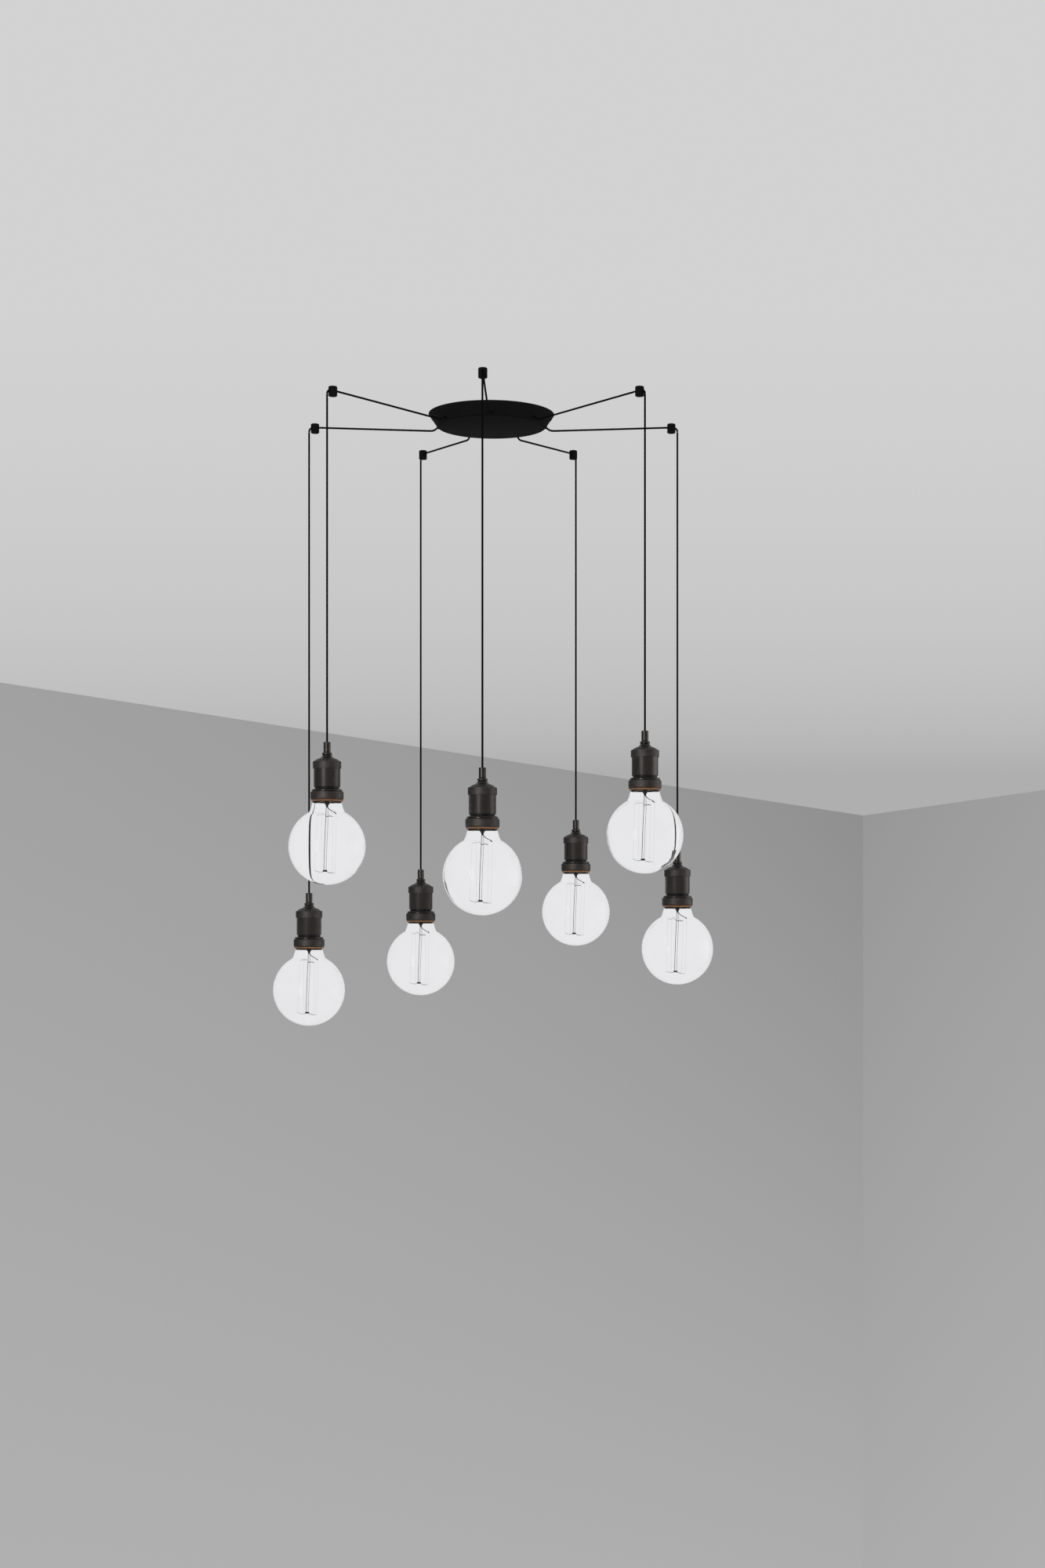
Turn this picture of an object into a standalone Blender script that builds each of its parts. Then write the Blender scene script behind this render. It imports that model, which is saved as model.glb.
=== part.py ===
# Seven-lamp spider chandelier. A shallow canopy on the ceiling feeds seven thin cords, each led out
# to a small ceiling hook of its own, and each cord hangs from its hook with a lampholder and a globe bulb.
# Origin: middle of the ceiling bracket's top face, on the ceiling. +Z up, -Y towards the viewer.
import math

import bmesh
import bpy
from mathutils import Matrix, Vector

# Counts
PENDANTS = 7
CANOPY_SEGMENTS = 42
HOOK_SEGMENTS = 12
LAMP_SEGMENTS = 14
GLOBE_SEGMENTS = 16
GLOBE_UPPER_RINGS = 3
GLOBE_LOWER_RINGS = 3
SMALL_SEGMENTS = 10
WIRE_SEGMENTS = 8
ARM_SEGMENTS = 6
CORD_BEVEL_RESOLUTION = 2
INNER_ROUTE_STEPS = 8

# Clearances and working values
SEAT_GAP = 0.0003
CUT_OVERRUN = 0.002
MERGE_DISTANCE = 0.00001
SMOOTH_ANGLE = math.radians(35.0)
FULL_TURN = math.tau

# Canopy: a shallow pan, wide rim on the ceiling, flat face below
CANOPY_RIM_RADIUS = 0.100
CANOPY_FACE_RADIUS = 0.086
CANOPY_DEPTH = 0.020
CANOPY_WALL = 0.0012
CANOPY_EDGE = 0.0014
CORD_HOLE_DEPTH = 0.0162
CORD_HOLE_RADIUS = 0.0025
CANOPY_SCREW_DEPTH = 0.0080

# Ceiling bracket inside the canopy
BRACKET_WIDTH = 0.024
BRACKET_THICKNESS = 0.002
EAR_DEPTH = 0.013
CABLE_HOLE_RADIUS = 0.006
CABLE_HOLE_OFFSET = 0.016
FIXING_HOLE_RADIUS = 0.0024
FIXING_HOLE_OFFSET = 0.062
EARTH_HOLE_RADIUS = 0.0017
EARTH_HOLE_OFFSET = 0.038
LOCATING_PIN_PROUD = 0.0008

# Screw that holds the canopy to the bracket's right ear
CANOPY_SCREW_RADIUS = 0.0014
CANOPY_SCREW_LENGTH = 0.0065
CANOPY_SCREW_HEAD_RADIUS = 0.0026
CANOPY_SCREW_HEAD_HEIGHT = 0.0012
CANOPY_SCREW_HEAD_EDGE = 0.0004

# Terminal block under the bracket
TERMINAL_LENGTH = 0.034
TERMINAL_WIDTH = 0.017
TERMINAL_HEIGHT = 0.012
TERMINAL_START = 0.018
TERMINAL_POLES = 3
TERMINAL_GROOVE_WIDTH = 0.002
TERMINAL_GROOVE_DEPTH = 0.004

# Ceiling hooks: a small round body with a hole for its screw and a channel for the cord
HOOK_CIRCLE_RADIUS = 0.2965
HOOK_RADIUS = 0.00675
HOOK_HEIGHT = 0.015
HOOK_EDGE = 0.0010
HOOK_SCREW_HOLE_RADIUS = 0.0021
CHANNEL_HEIGHT = 0.0044

# Cords
CORD_RADIUS = 0.0015
CORD_BLOCK_DEPTH = 0.0090
CORD_BLOCK_STRAIGHT = 0.0010
CORD_HOOK_DEPTH = 0.0062
CORD_DROP_OFFSET = 0.0102
CORD_DROP_DEPTH = 0.0122
CORD_DROP_POINTS = 3

# Route of every cord from behind the canopy's wall to its hook: distance from the centre line and depth
# below the ceiling. It leaves the wall square, dips, runs taut to the hook and bends down behind it.
FEED_ROUTE = (
    (0.08374, 0.01276),
    (0.08866, 0.01620),
    (0.09250, 0.01880),
    (0.09560, 0.02040),
    (0.10000, 0.02100),
    (0.11000, 0.02035),
    (0.20000, 0.01335),
    (0.28000, 0.00715),
    (0.29000, 0.00645),
    (0.29650, 0.00620),
    (0.30070, 0.00620),
    (0.30300, 0.00666),
    (0.30494, 0.00796),
    (0.30624, 0.00990),
    (0.30670, 0.01220),
)

# How far each cord's bend inside the canopy reaches out from the terminal block and back from the wall
CORD_BLOCK_BENDS = (0.018, 0.028, 0.022, 0.024, 0.042, 0.022, 0.012)
CORD_WALL_BENDS = (0.020, 0.024, 0.026, 0.022, 0.012, 0.012, 0.014)

# How far the top of each lampholder hangs below the ceiling, clockwise from the one nearest the viewer
LAMP_1_DEPTH = 0.585
LAMP_2_DEPTH = 0.538
LAMP_3_DEPTH = 0.761
LAMP_4_DEPTH = 0.717
LAMP_5_DEPTH = 0.632
LAMP_6_DEPTH = 0.694
LAMP_7_DEPTH = 0.521
LAMP_TOP_DEPTHS = (
    LAMP_1_DEPTH,
    LAMP_2_DEPTH,
    LAMP_3_DEPTH,
    LAMP_4_DEPTH,
    LAMP_5_DEPTH,
    LAMP_6_DEPTH,
    LAMP_7_DEPTH,
)

# Lampholder shell from the top: cord tube, collar, flared neck, dome, knurled band and smooth sleeve
GRIP_RADIUS = 0.00535
GRIP_LENGTH = 0.0156
COLLAR_RADIUS = 0.0078
COLLAR_LENGTH = 0.0050
COLLAR_EDGE = 0.0012
NECK_RADIUS = 0.0080
NECK_LENGTH = 0.0033
SHOULDER_RADIUS = 0.0125
DOME_RADIUS = 0.0208
DOME_HEIGHT = 0.0055
BAND_RADIUS = 0.0214
BAND_HEIGHT = 0.0106
SLEEVE_RADIUS = 0.0200
SLEEVE_HEIGHT = 0.0280
SHELL_WALL = 0.0013

# Shade ring at the bottom of the lampholder
GROOVE_HEIGHT = 0.0030
RING_FLANGE_RADIUS = 0.0233
RING_FLANGE_HEIGHT = 0.0042
RING_FLANGE_EDGE = 0.0016
RING_RADIUS = 0.0250
RING_BAND_HEIGHT = 0.0106
RING_LIP_RADIUS = 0.0230
RING_TAPER_HEIGHT = 0.0037
RING_STEP_HEIGHT = 0.0090

# Insulating insert with its screw shell
INSERT_SKIRT_WALL = 0.0014
INSERT_MOUTH_RADIUS = 0.0215
INSERT_MOUTH_WALL = 0.0009
INSERT_MOUTH_PROUD = 0.0015
INSERT_TOP_THICKNESS = 0.0132
SCREW_SHELL_DEPTH = 0.0250

# Bulb cap, glass stem and filament supports
CAP_RADIUS = 0.0131
CAP_LENGTH = 0.0270
CAP_CONE_RADIUS = 0.0090
CAP_CONE_HEIGHT = 0.0045
CAP_CONTACT_RADIUS = 0.0040
STEM_ROOT_RADIUS = 0.0080
STEM_WAIST_RADIUS = 0.0050
STEM_WAIST_LENGTH = 0.0176
STEM_CONE_LENGTH = 0.0060
ROD_RADIUS = 0.0018
ROD_LENGTH = 0.0970
ANCHOR_RADIUS = 0.0037
ANCHOR_HEIGHT = 0.0015
ARM_RADIUS = 0.0004
LOWER_ARM_REACH = 0.0160
UPPER_ARM_REACH = 0.0120
UPPER_ARM_DROP = 0.0120

# Globe bulb glass
GLASS_WALL = 0.0012
GLASS_NECK_RADIUS = 0.0126
GLASS_NECK_MID_RADIUS = 0.0152
GLASS_NECK_MID_LENGTH = 0.0078
GLASS_MOUTH_RADIUS = 0.0194
GLASS_SHOULDER_RADIUS = 0.0213
GLASS_SHOULDER_HEIGHT = 0.0018
GLOBE_RADIUS = 0.05825
GLOBE_JOIN_RADIUS = 0.0260
GLOBE_CENTRE_BELOW_RING = 0.06795

# Values worked out from the sizes above
WALL_SLOPE = (CANOPY_RIM_RADIUS - CANOPY_FACE_RADIUS) / CANOPY_DEPTH
WALL_STRETCH = math.hypot(1.0, WALL_SLOPE)
WALL_TILT = math.atan(WALL_SLOPE)
COLLAR_DEPTH = GRIP_LENGTH + COLLAR_LENGTH
SHOULDER_DEPTH = COLLAR_DEPTH + NECK_LENGTH
DOME_DEPTH = SHOULDER_DEPTH + DOME_HEIGHT
BAND_DEPTH = DOME_DEPTH + BAND_HEIGHT
SLEEVE_DEPTH = BAND_DEPTH + SLEEVE_HEIGHT
RING_TOP_DEPTH = SLEEVE_DEPTH + GROOVE_HEIGHT
RING_BAND_DEPTH = RING_TOP_DEPTH + RING_FLANGE_HEIGHT
RING_TAPER_DEPTH = RING_BAND_DEPTH + RING_BAND_HEIGHT
RING_BOTTOM_DEPTH = RING_TAPER_DEPTH + RING_TAPER_HEIGHT
RING_STEP_DEPTH = RING_BOTTOM_DEPTH - RING_STEP_HEIGHT
SLEEVE_BORE_RADIUS = SLEEVE_RADIUS - SHELL_WALL
INSERT_RADIUS = SLEEVE_BORE_RADIUS - SEAT_GAP
INSERT_TOP_DEPTH = DOME_DEPTH + SHELL_WALL + SEAT_GAP
SCREW_SHELL_TOP_DEPTH = INSERT_TOP_DEPTH + INSERT_TOP_THICKNESS
SCREW_SHELL_END_DEPTH = SCREW_SHELL_TOP_DEPTH + SCREW_SHELL_DEPTH
SCREW_SHELL_RADIUS = CAP_RADIUS + SEAT_GAP
RING_BORE_RADIUS = INSERT_RADIUS + SEAT_GAP
RING_MOUTH_RADIUS = INSERT_MOUTH_RADIUS + SEAT_GAP
MOUTH_CONE_HEIGHT = INSERT_MOUTH_RADIUS - INSERT_RADIUS
INSERT_BOTTOM_DEPTH = RING_BOTTOM_DEPTH + INSERT_MOUTH_PROUD
CAP_TOP_DEPTH = SCREW_SHELL_TOP_DEPTH + SEAT_GAP
CAP_BOTTOM_DEPTH = CAP_TOP_DEPTH + CAP_LENGTH
GLASS_TOP_DEPTH = CAP_BOTTOM_DEPTH + SEAT_GAP
GLOBE_CENTRE_DEPTH = RING_BOTTOM_DEPTH + GLOBE_CENTRE_BELOW_RING
HINGE_DEPTH = CORD_DROP_DEPTH + SEAT_GAP / 2.0
PENDANT_CIRCLE_RADIUS = HOOK_CIRCLE_RADIUS + CORD_DROP_OFFSET

# Colours as linear red, green, blue with roughness and metallic
FINISHES = {
    "black_enamel": ((0.010, 0.010, 0.010), 0.45, 0.0),
    "black_cord": ((0.006, 0.006, 0.006), 0.75, 0.0),
    "zinc_steel": ((0.55, 0.56, 0.58), 0.35, 1.0),
    "white_nylon": ((0.75, 0.74, 0.70), 0.55, 0.0),
    "bronze_aluminium": ((0.075, 0.065, 0.055), 0.38, 1.0),
    "black_phenolic": ((0.010, 0.009, 0.009), 0.40, 0.0),
    "milky_glass": ((0.86, 0.86, 0.85), 0.15, 0.0),
    "cap_nickel": ((0.60, 0.58, 0.52), 0.30, 1.0),
}


def clear_scene():
    """Remove every object that the file starts with."""
    for obj in list(bpy.data.objects):
        bpy.data.objects.remove(obj)


def new_collection(name):
    """A collection linked to the scene."""
    collection = bpy.data.collections.new(name)
    bpy.context.scene.collection.children.link(collection)
    return collection


def make_material(name, finish):
    """A Principled material in one of the listed finishes."""
    colour, roughness, metallic = FINISHES[finish]
    material = bpy.data.materials.new(name)
    material.use_nodes = True
    shader = material.node_tree.nodes["Principled BSDF"]
    shader.inputs["Base Color"].default_value = (*colour, 1.0)
    shader.inputs["Roughness"].default_value = roughness
    shader.inputs["Metallic"].default_value = metallic
    return material


def add_object(name, data, collection, parent=None, location=(0.0, 0.0, 0.0)):
    """An object for the data, placed under its parent."""
    obj = bpy.data.objects.new(name, data)
    collection.objects.link(obj)
    obj.parent = parent
    obj.location = location
    return obj


def smooth(mesh):
    """Shade smooth with the true edges left sharp."""
    mesh.shade_smooth()
    mesh.set_sharp_from_angle(angle=SMOOTH_ANGLE)


def evaluated_mesh(obj, name):
    """The object's mesh as its modifiers or its curve leave it, with loose caps welded. The object goes."""
    bpy.context.view_layer.update()
    graph = bpy.context.evaluated_depsgraph_get()
    mesh = bpy.data.meshes.new_from_object(obj.evaluated_get(graph))
    mesh.transform(obj.matrix_world)
    mesh.name = name
    data = obj.data
    bpy.data.objects.remove(obj)
    if isinstance(data, bpy.types.Curve):
        bpy.data.curves.remove(data)
    shape = bmesh.new()
    shape.from_mesh(mesh)
    bmesh.ops.remove_doubles(shape, verts=shape.verts, dist=MERGE_DISTANCE)
    shape.to_mesh(mesh)
    shape.free()
    mesh.materials.clear()
    return mesh


def turned_mesh(name, profile, segments, closed):
    """A turned shape from a profile of radius and depth, outer side first. A closed profile makes a ring."""
    outline = bpy.data.meshes.new(name)
    points = [(radius, 0.0, -depth) for radius, depth in profile]
    edges = [(index, index + 1) for index in range(len(points) - 1)]
    if closed:
        edges.append((len(points) - 1, 0))
    outline.from_pydata(points, edges, [])
    obj = add_object(name, outline, CUTTERS)
    screw = obj.modifiers.new("turn", "SCREW")
    screw.angle = FULL_TURN
    screw.steps = segments
    screw.render_steps = segments
    screw.use_merge_vertices = True
    screw.merge_threshold = MERGE_DISTANCE
    mesh = evaluated_mesh(obj, name)
    bpy.data.meshes.remove(outline)
    smooth(mesh)
    return mesh


def tube_mesh(name, points, radius):
    """A round tube with filled ends along the points."""
    curve = bpy.data.curves.new(name, "CURVE")
    curve.dimensions = "3D"
    curve.bevel_depth = radius
    curve.bevel_resolution = CORD_BEVEL_RESOLUTION
    curve.use_fill_caps = True
    spline = curve.splines.new("POLY")
    spline.points.add(len(points) - 1)
    for spline_point, place in zip(spline.points, points):
        spline_point.co = (*place, 1.0)
    mesh = evaluated_mesh(add_object(name, curve, CUTTERS), name)
    smooth(mesh)
    return mesh


def plate_mesh(name, outline, width):
    """A flat outline in the XZ plane, as thick along Y as the width."""
    curve = bpy.data.curves.new(name, "CURVE")
    curve.dimensions = "2D"
    curve.fill_mode = "BOTH"
    curve.extrude = width / 2.0
    spline = curve.splines.new("POLY")
    spline.points.add(len(outline) - 1)
    for spline_point, (along, up) in zip(spline.points, outline):
        spline_point.co = (along, up, 0.0, 1.0)
    spline.use_cyclic_u = True
    obj = add_object(name, curve, CUTTERS)
    obj.rotation_euler = (math.radians(90.0), 0.0, 0.0)
    return evaluated_mesh(obj, name)


def box_mesh(name, low, high):
    """A box between two corners."""
    mesh = bpy.data.meshes.new(name)
    shape = bmesh.new()
    bmesh.ops.create_cube(shape, size=1.0)
    size = Vector(high) - Vector(low)
    middle = (Vector(high) + Vector(low)) / 2.0
    bmesh.ops.scale(shape, vec=size, verts=shape.verts)
    bmesh.ops.translate(shape, vec=middle, verts=shape.verts)
    shape.to_mesh(mesh)
    shape.free()
    return mesh


def rod_mesh(name, radius, start, end, segments):
    """A straight round rod between two points."""
    mesh = bpy.data.meshes.new(name)
    shape = bmesh.new()
    axis = Vector(end) - Vector(start)
    turn = axis.to_track_quat("Z", "Y").to_matrix().to_4x4()
    place = Matrix.Translation((Vector(start) + Vector(end)) / 2.0) @ turn
    bmesh.ops.create_cone(
        shape,
        cap_ends=True,
        cap_tris=False,
        segments=segments,
        radius1=radius,
        radius2=radius,
        depth=axis.length,
        matrix=place,
    )
    shape.to_mesh(mesh)
    shape.free()
    smooth(mesh)
    return mesh


def moved_copies(name, mesh, places):
    """One mesh holding a separate copy of the shape at each place."""
    group = bpy.data.meshes.new(name)
    shape = bmesh.new()
    for place in places:
        copy = mesh.copy()
        copy.transform(place)
        shape.from_mesh(copy)
        bpy.data.meshes.remove(copy)
    shape.to_mesh(group)
    shape.free()
    return group


def joined_meshes(name, meshes):
    """One mesh holding several meshes as separate bodies."""
    group = bpy.data.meshes.new(name)
    shape = bmesh.new()
    for mesh in meshes:
        shape.from_mesh(mesh)
    shape.to_mesh(group)
    shape.free()
    return group


def combined_mesh(name, mesh, operation, tools):
    """The mesh after a Boolean with each tool mesh in turn."""
    obj = add_object(name, mesh, CUTTERS)
    helpers = []
    for index, tool in enumerate(tools):
        helper = add_object(f"{name}_tool_{index}", tool, CUTTERS)
        helper.hide_render = True
        helper.display_type = "WIRE"
        modifier = obj.modifiers.new(f"{operation.lower()}_{index}", "BOOLEAN")
        modifier.operation = operation
        modifier.solver = "EXACT"
        modifier.object = helper
        helpers.append(helper)
    result = evaluated_mesh(obj, name)
    for helper in helpers:
        bpy.data.objects.remove(helper)
    smooth(result)
    return result


def finish_part(name, mesh, finish, parent=None, location=(0.0, 0.0, 0.0), heading=0.0):
    """Put the mesh in the model as one named piece with its own material, turned about Z by the heading."""
    obj = add_object(name, mesh, PARTS, parent, location)
    obj.rotation_euler = (0.0, 0.0, heading)
    material = make_material(name, finish)
    if not mesh.materials:
        mesh.materials.append(material)
    obj.material_slots[0].link = "OBJECT"
    obj.material_slots[0].material = material
    return obj


def add_pivot(name, location, parent=None):
    """An empty on a joint's axis."""
    return add_object(name, None, PARTS, parent, location)


def wall_radius(depth):
    """Outer radius of the canopy's wall at a depth below the ceiling."""
    return CANOPY_RIM_RADIUS - WALL_SLOPE * depth


def pendant_angle(index):
    """Turn from the viewer's side to a pendant, clockwise seen from above."""
    return FULL_TURN * index / PENDANTS


def heading(index):
    """Turn about Z that takes +X to the direction of a pendant."""
    return -pendant_angle(index) - math.radians(90.0)


def radial_place(index):
    """Turns a shape built along +X so that it points at a pendant, about the centre line."""
    return Matrix.Rotation(heading(index), 4, "Z")


def wall_place(depth, turn):
    """Puts a shape turned about Z on the canopy's wall, its +Z outward and square to the wall."""
    tilt = Matrix.Rotation(math.radians(90.0) + WALL_TILT, 4, "Y")
    return turn @ Matrix.Translation((wall_radius(depth), 0.0, -depth)) @ tilt


RIGHT_SIDE = Matrix.Identity(4)
LEFT_SIDE = Matrix.Rotation(math.radians(180.0), 4, "Z")


def canopy_shell():
    """The pan, with a hole for each cord, one for its screw and one for the bracket's locating pin."""
    inner_rim = CANOPY_RIM_RADIUS - CANOPY_WALL * WALL_STRETCH
    inner_depth = CANOPY_DEPTH - CANOPY_WALL
    inner_edge_depth = inner_depth - CANOPY_EDGE
    inner_edge_radius = inner_rim - WALL_SLOPE * inner_edge_depth
    profile = (
        (CANOPY_RIM_RADIUS, 0.0),
        (wall_radius(CANOPY_DEPTH - CANOPY_EDGE), CANOPY_DEPTH - CANOPY_EDGE),
        (CANOPY_FACE_RADIUS - CANOPY_EDGE, CANOPY_DEPTH),
        (0.0, CANOPY_DEPTH),
        (0.0, inner_depth),
        (inner_edge_radius - CANOPY_EDGE, inner_depth),
        (inner_edge_radius, inner_edge_depth),
        (inner_rim, 0.0),
    )
    shell = turned_mesh("canopy_shell", profile + (profile[0],), CANOPY_SEGMENTS, False)
    reach = CANOPY_WALL + CUT_OVERRUN
    cord_hole = rod_mesh("cord_hole", CORD_HOLE_RADIUS, (0, 0, -reach), (0, 0, CUT_OVERRUN), SMALL_SEGMENTS)
    screw_hole_radius = CANOPY_SCREW_RADIUS + SEAT_GAP
    screw_hole = rod_mesh("screw_hole", screw_hole_radius, (0, 0, -reach), (0, 0, CUT_OVERRUN), WIRE_SEGMENTS)
    cord_places = [wall_place(CORD_HOLE_DEPTH, radial_place(index)) for index in range(PENDANTS)]
    screw_places = [wall_place(CANOPY_SCREW_DEPTH, side) for side in (RIGHT_SIDE, LEFT_SIDE)]
    cutters = (
        moved_copies("cord_holes", cord_hole, cord_places),
        moved_copies("screw_holes", screw_hole, screw_places),
    )
    return combined_mesh("canopy_shell", shell, "DIFFERENCE", cutters)


def ear_line(depth):
    """How far the bracket's flat ear reaches at a depth, clear of the round wall over its whole width."""
    facet = math.cos(FULL_TURN / CANOPY_SEGMENTS / 2.0)
    bore = (wall_radius(depth) - CANOPY_WALL * WALL_STRETCH) * facet
    return math.sqrt(bore**2 - (BRACKET_WIDTH / 2.0) ** 2) - SEAT_GAP * WALL_STRETCH


def ceiling_bracket():
    """A bar on the ceiling, its ends turned down along the canopy's wall, a locating pin on the left one."""
    inner_step = BRACKET_THICKNESS * WALL_STRETCH
    right_side = (
        (ear_line(0.0), 0.0),
        (ear_line(EAR_DEPTH), -EAR_DEPTH),
        (ear_line(EAR_DEPTH) - inner_step, -EAR_DEPTH),
        (ear_line(BRACKET_THICKNESS) - inner_step, -BRACKET_THICKNESS),
    )
    left_side = [(-along, up) for along, up in reversed(right_side)]
    bar = plate_mesh("ceiling_bracket", list(right_side) + left_side, BRACKET_WIDTH)
    pin_root = CANOPY_WALL + BRACKET_THICKNESS
    pin = rod_mesh("pin", CANOPY_SCREW_RADIUS, (0, 0, -pin_root), (0, 0, LOCATING_PIN_PROUD), WIRE_SEGMENTS)
    pin.transform(wall_place(CANOPY_SCREW_DEPTH, LEFT_SIDE))
    pinned = combined_mesh("ceiling_bracket", bar, "UNION", (pin,))
    low = -BRACKET_THICKNESS - CUT_OVERRUN
    holes = (
        (CABLE_HOLE_RADIUS, -CABLE_HOLE_OFFSET, LAMP_SEGMENTS),
        (FIXING_HOLE_RADIUS, FIXING_HOLE_OFFSET, WIRE_SEGMENTS),
        (FIXING_HOLE_RADIUS, -FIXING_HOLE_OFFSET, WIRE_SEGMENTS),
        (EARTH_HOLE_RADIUS, -EARTH_HOLE_OFFSET, WIRE_SEGMENTS),
    )
    rods = [
        rod_mesh("bar_hole", radius, (along, 0, low), (along, 0, CUT_OVERRUN), segments)
        for radius, along, segments in holes
    ]
    ear_hole_radius = CANOPY_SCREW_RADIUS + SEAT_GAP
    reach = CANOPY_WALL + BRACKET_THICKNESS + CUT_OVERRUN
    ear_hole = rod_mesh("ear_hole", ear_hole_radius, (0, 0, -reach), (0, 0, 0), WIRE_SEGMENTS)
    ear_hole.transform(wall_place(CANOPY_SCREW_DEPTH, RIGHT_SIDE))
    return combined_mesh("ceiling_bracket", pinned, "DIFFERENCE", (joined_meshes("bar_holes", rods), ear_hole))


def canopy_screw():
    """The screw that holds the canopy to the bracket's right ear."""
    profile = (
        (0.0, -CANOPY_SCREW_HEAD_HEIGHT),
        (CANOPY_SCREW_HEAD_RADIUS - CANOPY_SCREW_HEAD_EDGE, -CANOPY_SCREW_HEAD_HEIGHT),
        (CANOPY_SCREW_HEAD_RADIUS, CANOPY_SCREW_HEAD_EDGE - CANOPY_SCREW_HEAD_HEIGHT),
        (CANOPY_SCREW_HEAD_RADIUS, 0.0),
        (CANOPY_SCREW_RADIUS, 0.0),
        (CANOPY_SCREW_RADIUS, CANOPY_SCREW_LENGTH),
        (0.0, CANOPY_SCREW_LENGTH),
    )
    screw = turned_mesh("canopy_screw", profile, WIRE_SEGMENTS, False)
    screw.transform(wall_place(CANOPY_SCREW_DEPTH, RIGHT_SIDE) @ Matrix.Translation((0.0, 0.0, SEAT_GAP)))
    return screw


def terminal_block():
    """A moulded block under the bracket, grooved between its poles."""
    top = -BRACKET_THICKNESS - SEAT_GAP
    bottom = top - TERMINAL_HEIGHT
    half_width = TERMINAL_WIDTH / 2.0
    block = box_mesh(
        "terminal_block",
        (TERMINAL_START, -half_width, bottom),
        (TERMINAL_START + TERMINAL_LENGTH, half_width, top),
    )
    pitch = TERMINAL_LENGTH / TERMINAL_POLES
    grooves = []
    for pole in range(1, TERMINAL_POLES):
        middle = TERMINAL_START + pitch * pole
        grooves.append(
            box_mesh(
                "groove",
                (middle - TERMINAL_GROOVE_WIDTH / 2.0, -half_width - CUT_OVERRUN, bottom - CUT_OVERRUN),
                (middle + TERMINAL_GROOVE_WIDTH / 2.0, half_width + CUT_OVERRUN, bottom + TERMINAL_GROOVE_DEPTH),
            )
        )
    return combined_mesh("terminal_block", block, "DIFFERENCE", (joined_meshes("grooves", grooves),))


def ceiling_hook():
    """One hook: a round body on the ceiling with a channel for the cord across it and a screw hole above."""
    profile = (
        (0.0, 0.0),
        (HOOK_RADIUS - HOOK_EDGE, 0.0),
        (HOOK_RADIUS, HOOK_EDGE),
        (HOOK_RADIUS, HOOK_HEIGHT - HOOK_EDGE),
        (HOOK_RADIUS - HOOK_EDGE, HOOK_HEIGHT),
        (0.0, HOOK_HEIGHT),
    )
    body = turned_mesh("ceiling_hook", profile, HOOK_SEGMENTS, False)
    half_width = CORD_RADIUS + SEAT_GAP
    top = half_width - CORD_HOOK_DEPTH
    channel = box_mesh(
        "channel",
        (-HOOK_RADIUS - CUT_OVERRUN, -half_width, top - CHANNEL_HEIGHT),
        (HOOK_RADIUS + CUT_OVERRUN, half_width, top),
    )
    hole_end = (0, 0, top - SEAT_GAP)
    screw_hole = rod_mesh("hook_hole", HOOK_SCREW_HOLE_RADIUS, (0, 0, CUT_OVERRUN), hole_end, WIRE_SEGMENTS)
    return combined_mesh("ceiling_hook", body, "DIFFERENCE", (channel, screw_hole))


def block_places():
    """Where each cord meets the terminal block: far pendants on its far side, near ones on its near side."""
    far = [index for index in range(PENDANTS) if math.cos(pendant_angle(index)) < 0.0]
    near = [index for index in range(PENDANTS) if math.cos(pendant_angle(index)) >= 0.0]
    near.sort(key=lambda index: math.sin(pendant_angle(index)), reverse=True)
    face = TERMINAL_WIDTH / 2.0 + SEAT_GAP
    places = {}
    for side, order in ((1.0, far), (-1.0, near)):
        for rank, index in enumerate(order):
            along = TERMINAL_START + TERMINAL_LENGTH * (rank + 1) / (len(order) + 1)
            bend = CORD_BLOCK_STRAIGHT + CORD_BLOCK_BENDS[index]
            places[index] = tuple(
                Vector((along, side * (face + reach), -CORD_BLOCK_DEPTH))
                for reach in (0.0, CORD_BLOCK_STRAIGHT, bend)
            )
    return places


def feed_cord(index, block_end, block_straight, block_bend):
    """One cord from the terminal block through the canopy's wall and along the ceiling to its hook."""
    turn = radial_place(index)
    outside = [turn @ Vector((along, 0.0, -depth)) for along, depth in FEED_ROUTE]
    square = turn @ Vector((1.0, 0.0, -WALL_SLOPE)) / WALL_STRETCH
    wall_bend = outside[0] - square * CORD_WALL_BENDS[index]
    points = [block_end]
    for step in range(INNER_ROUTE_STEPS):
        share = step / INNER_ROUTE_STEPS
        rest = 1.0 - share
        points.append(
            block_straight * rest**3
            + block_bend * (3.0 * rest**2 * share)
            + wall_bend * (3.0 * rest * share**2)
            + outside[0] * share**3
        )
    return tube_mesh(f"feed_cord_{index + 1}", points + outside, CORD_RADIUS)


def drop_cord(index):
    """One hanging cord, from its hinge point under the hook into the lampholder."""
    top = -SEAT_GAP / 2.0
    bottom = HINGE_DEPTH - LAMP_TOP_DEPTHS[index] - INSERT_TOP_DEPTH + SEAT_GAP
    points = [
        (0.0, 0.0, top + (bottom - top) * step / (CORD_DROP_POINTS - 1)) for step in range(CORD_DROP_POINTS)
    ]
    return tube_mesh(f"drop_cord_{index + 1}", points, CORD_RADIUS)


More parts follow.
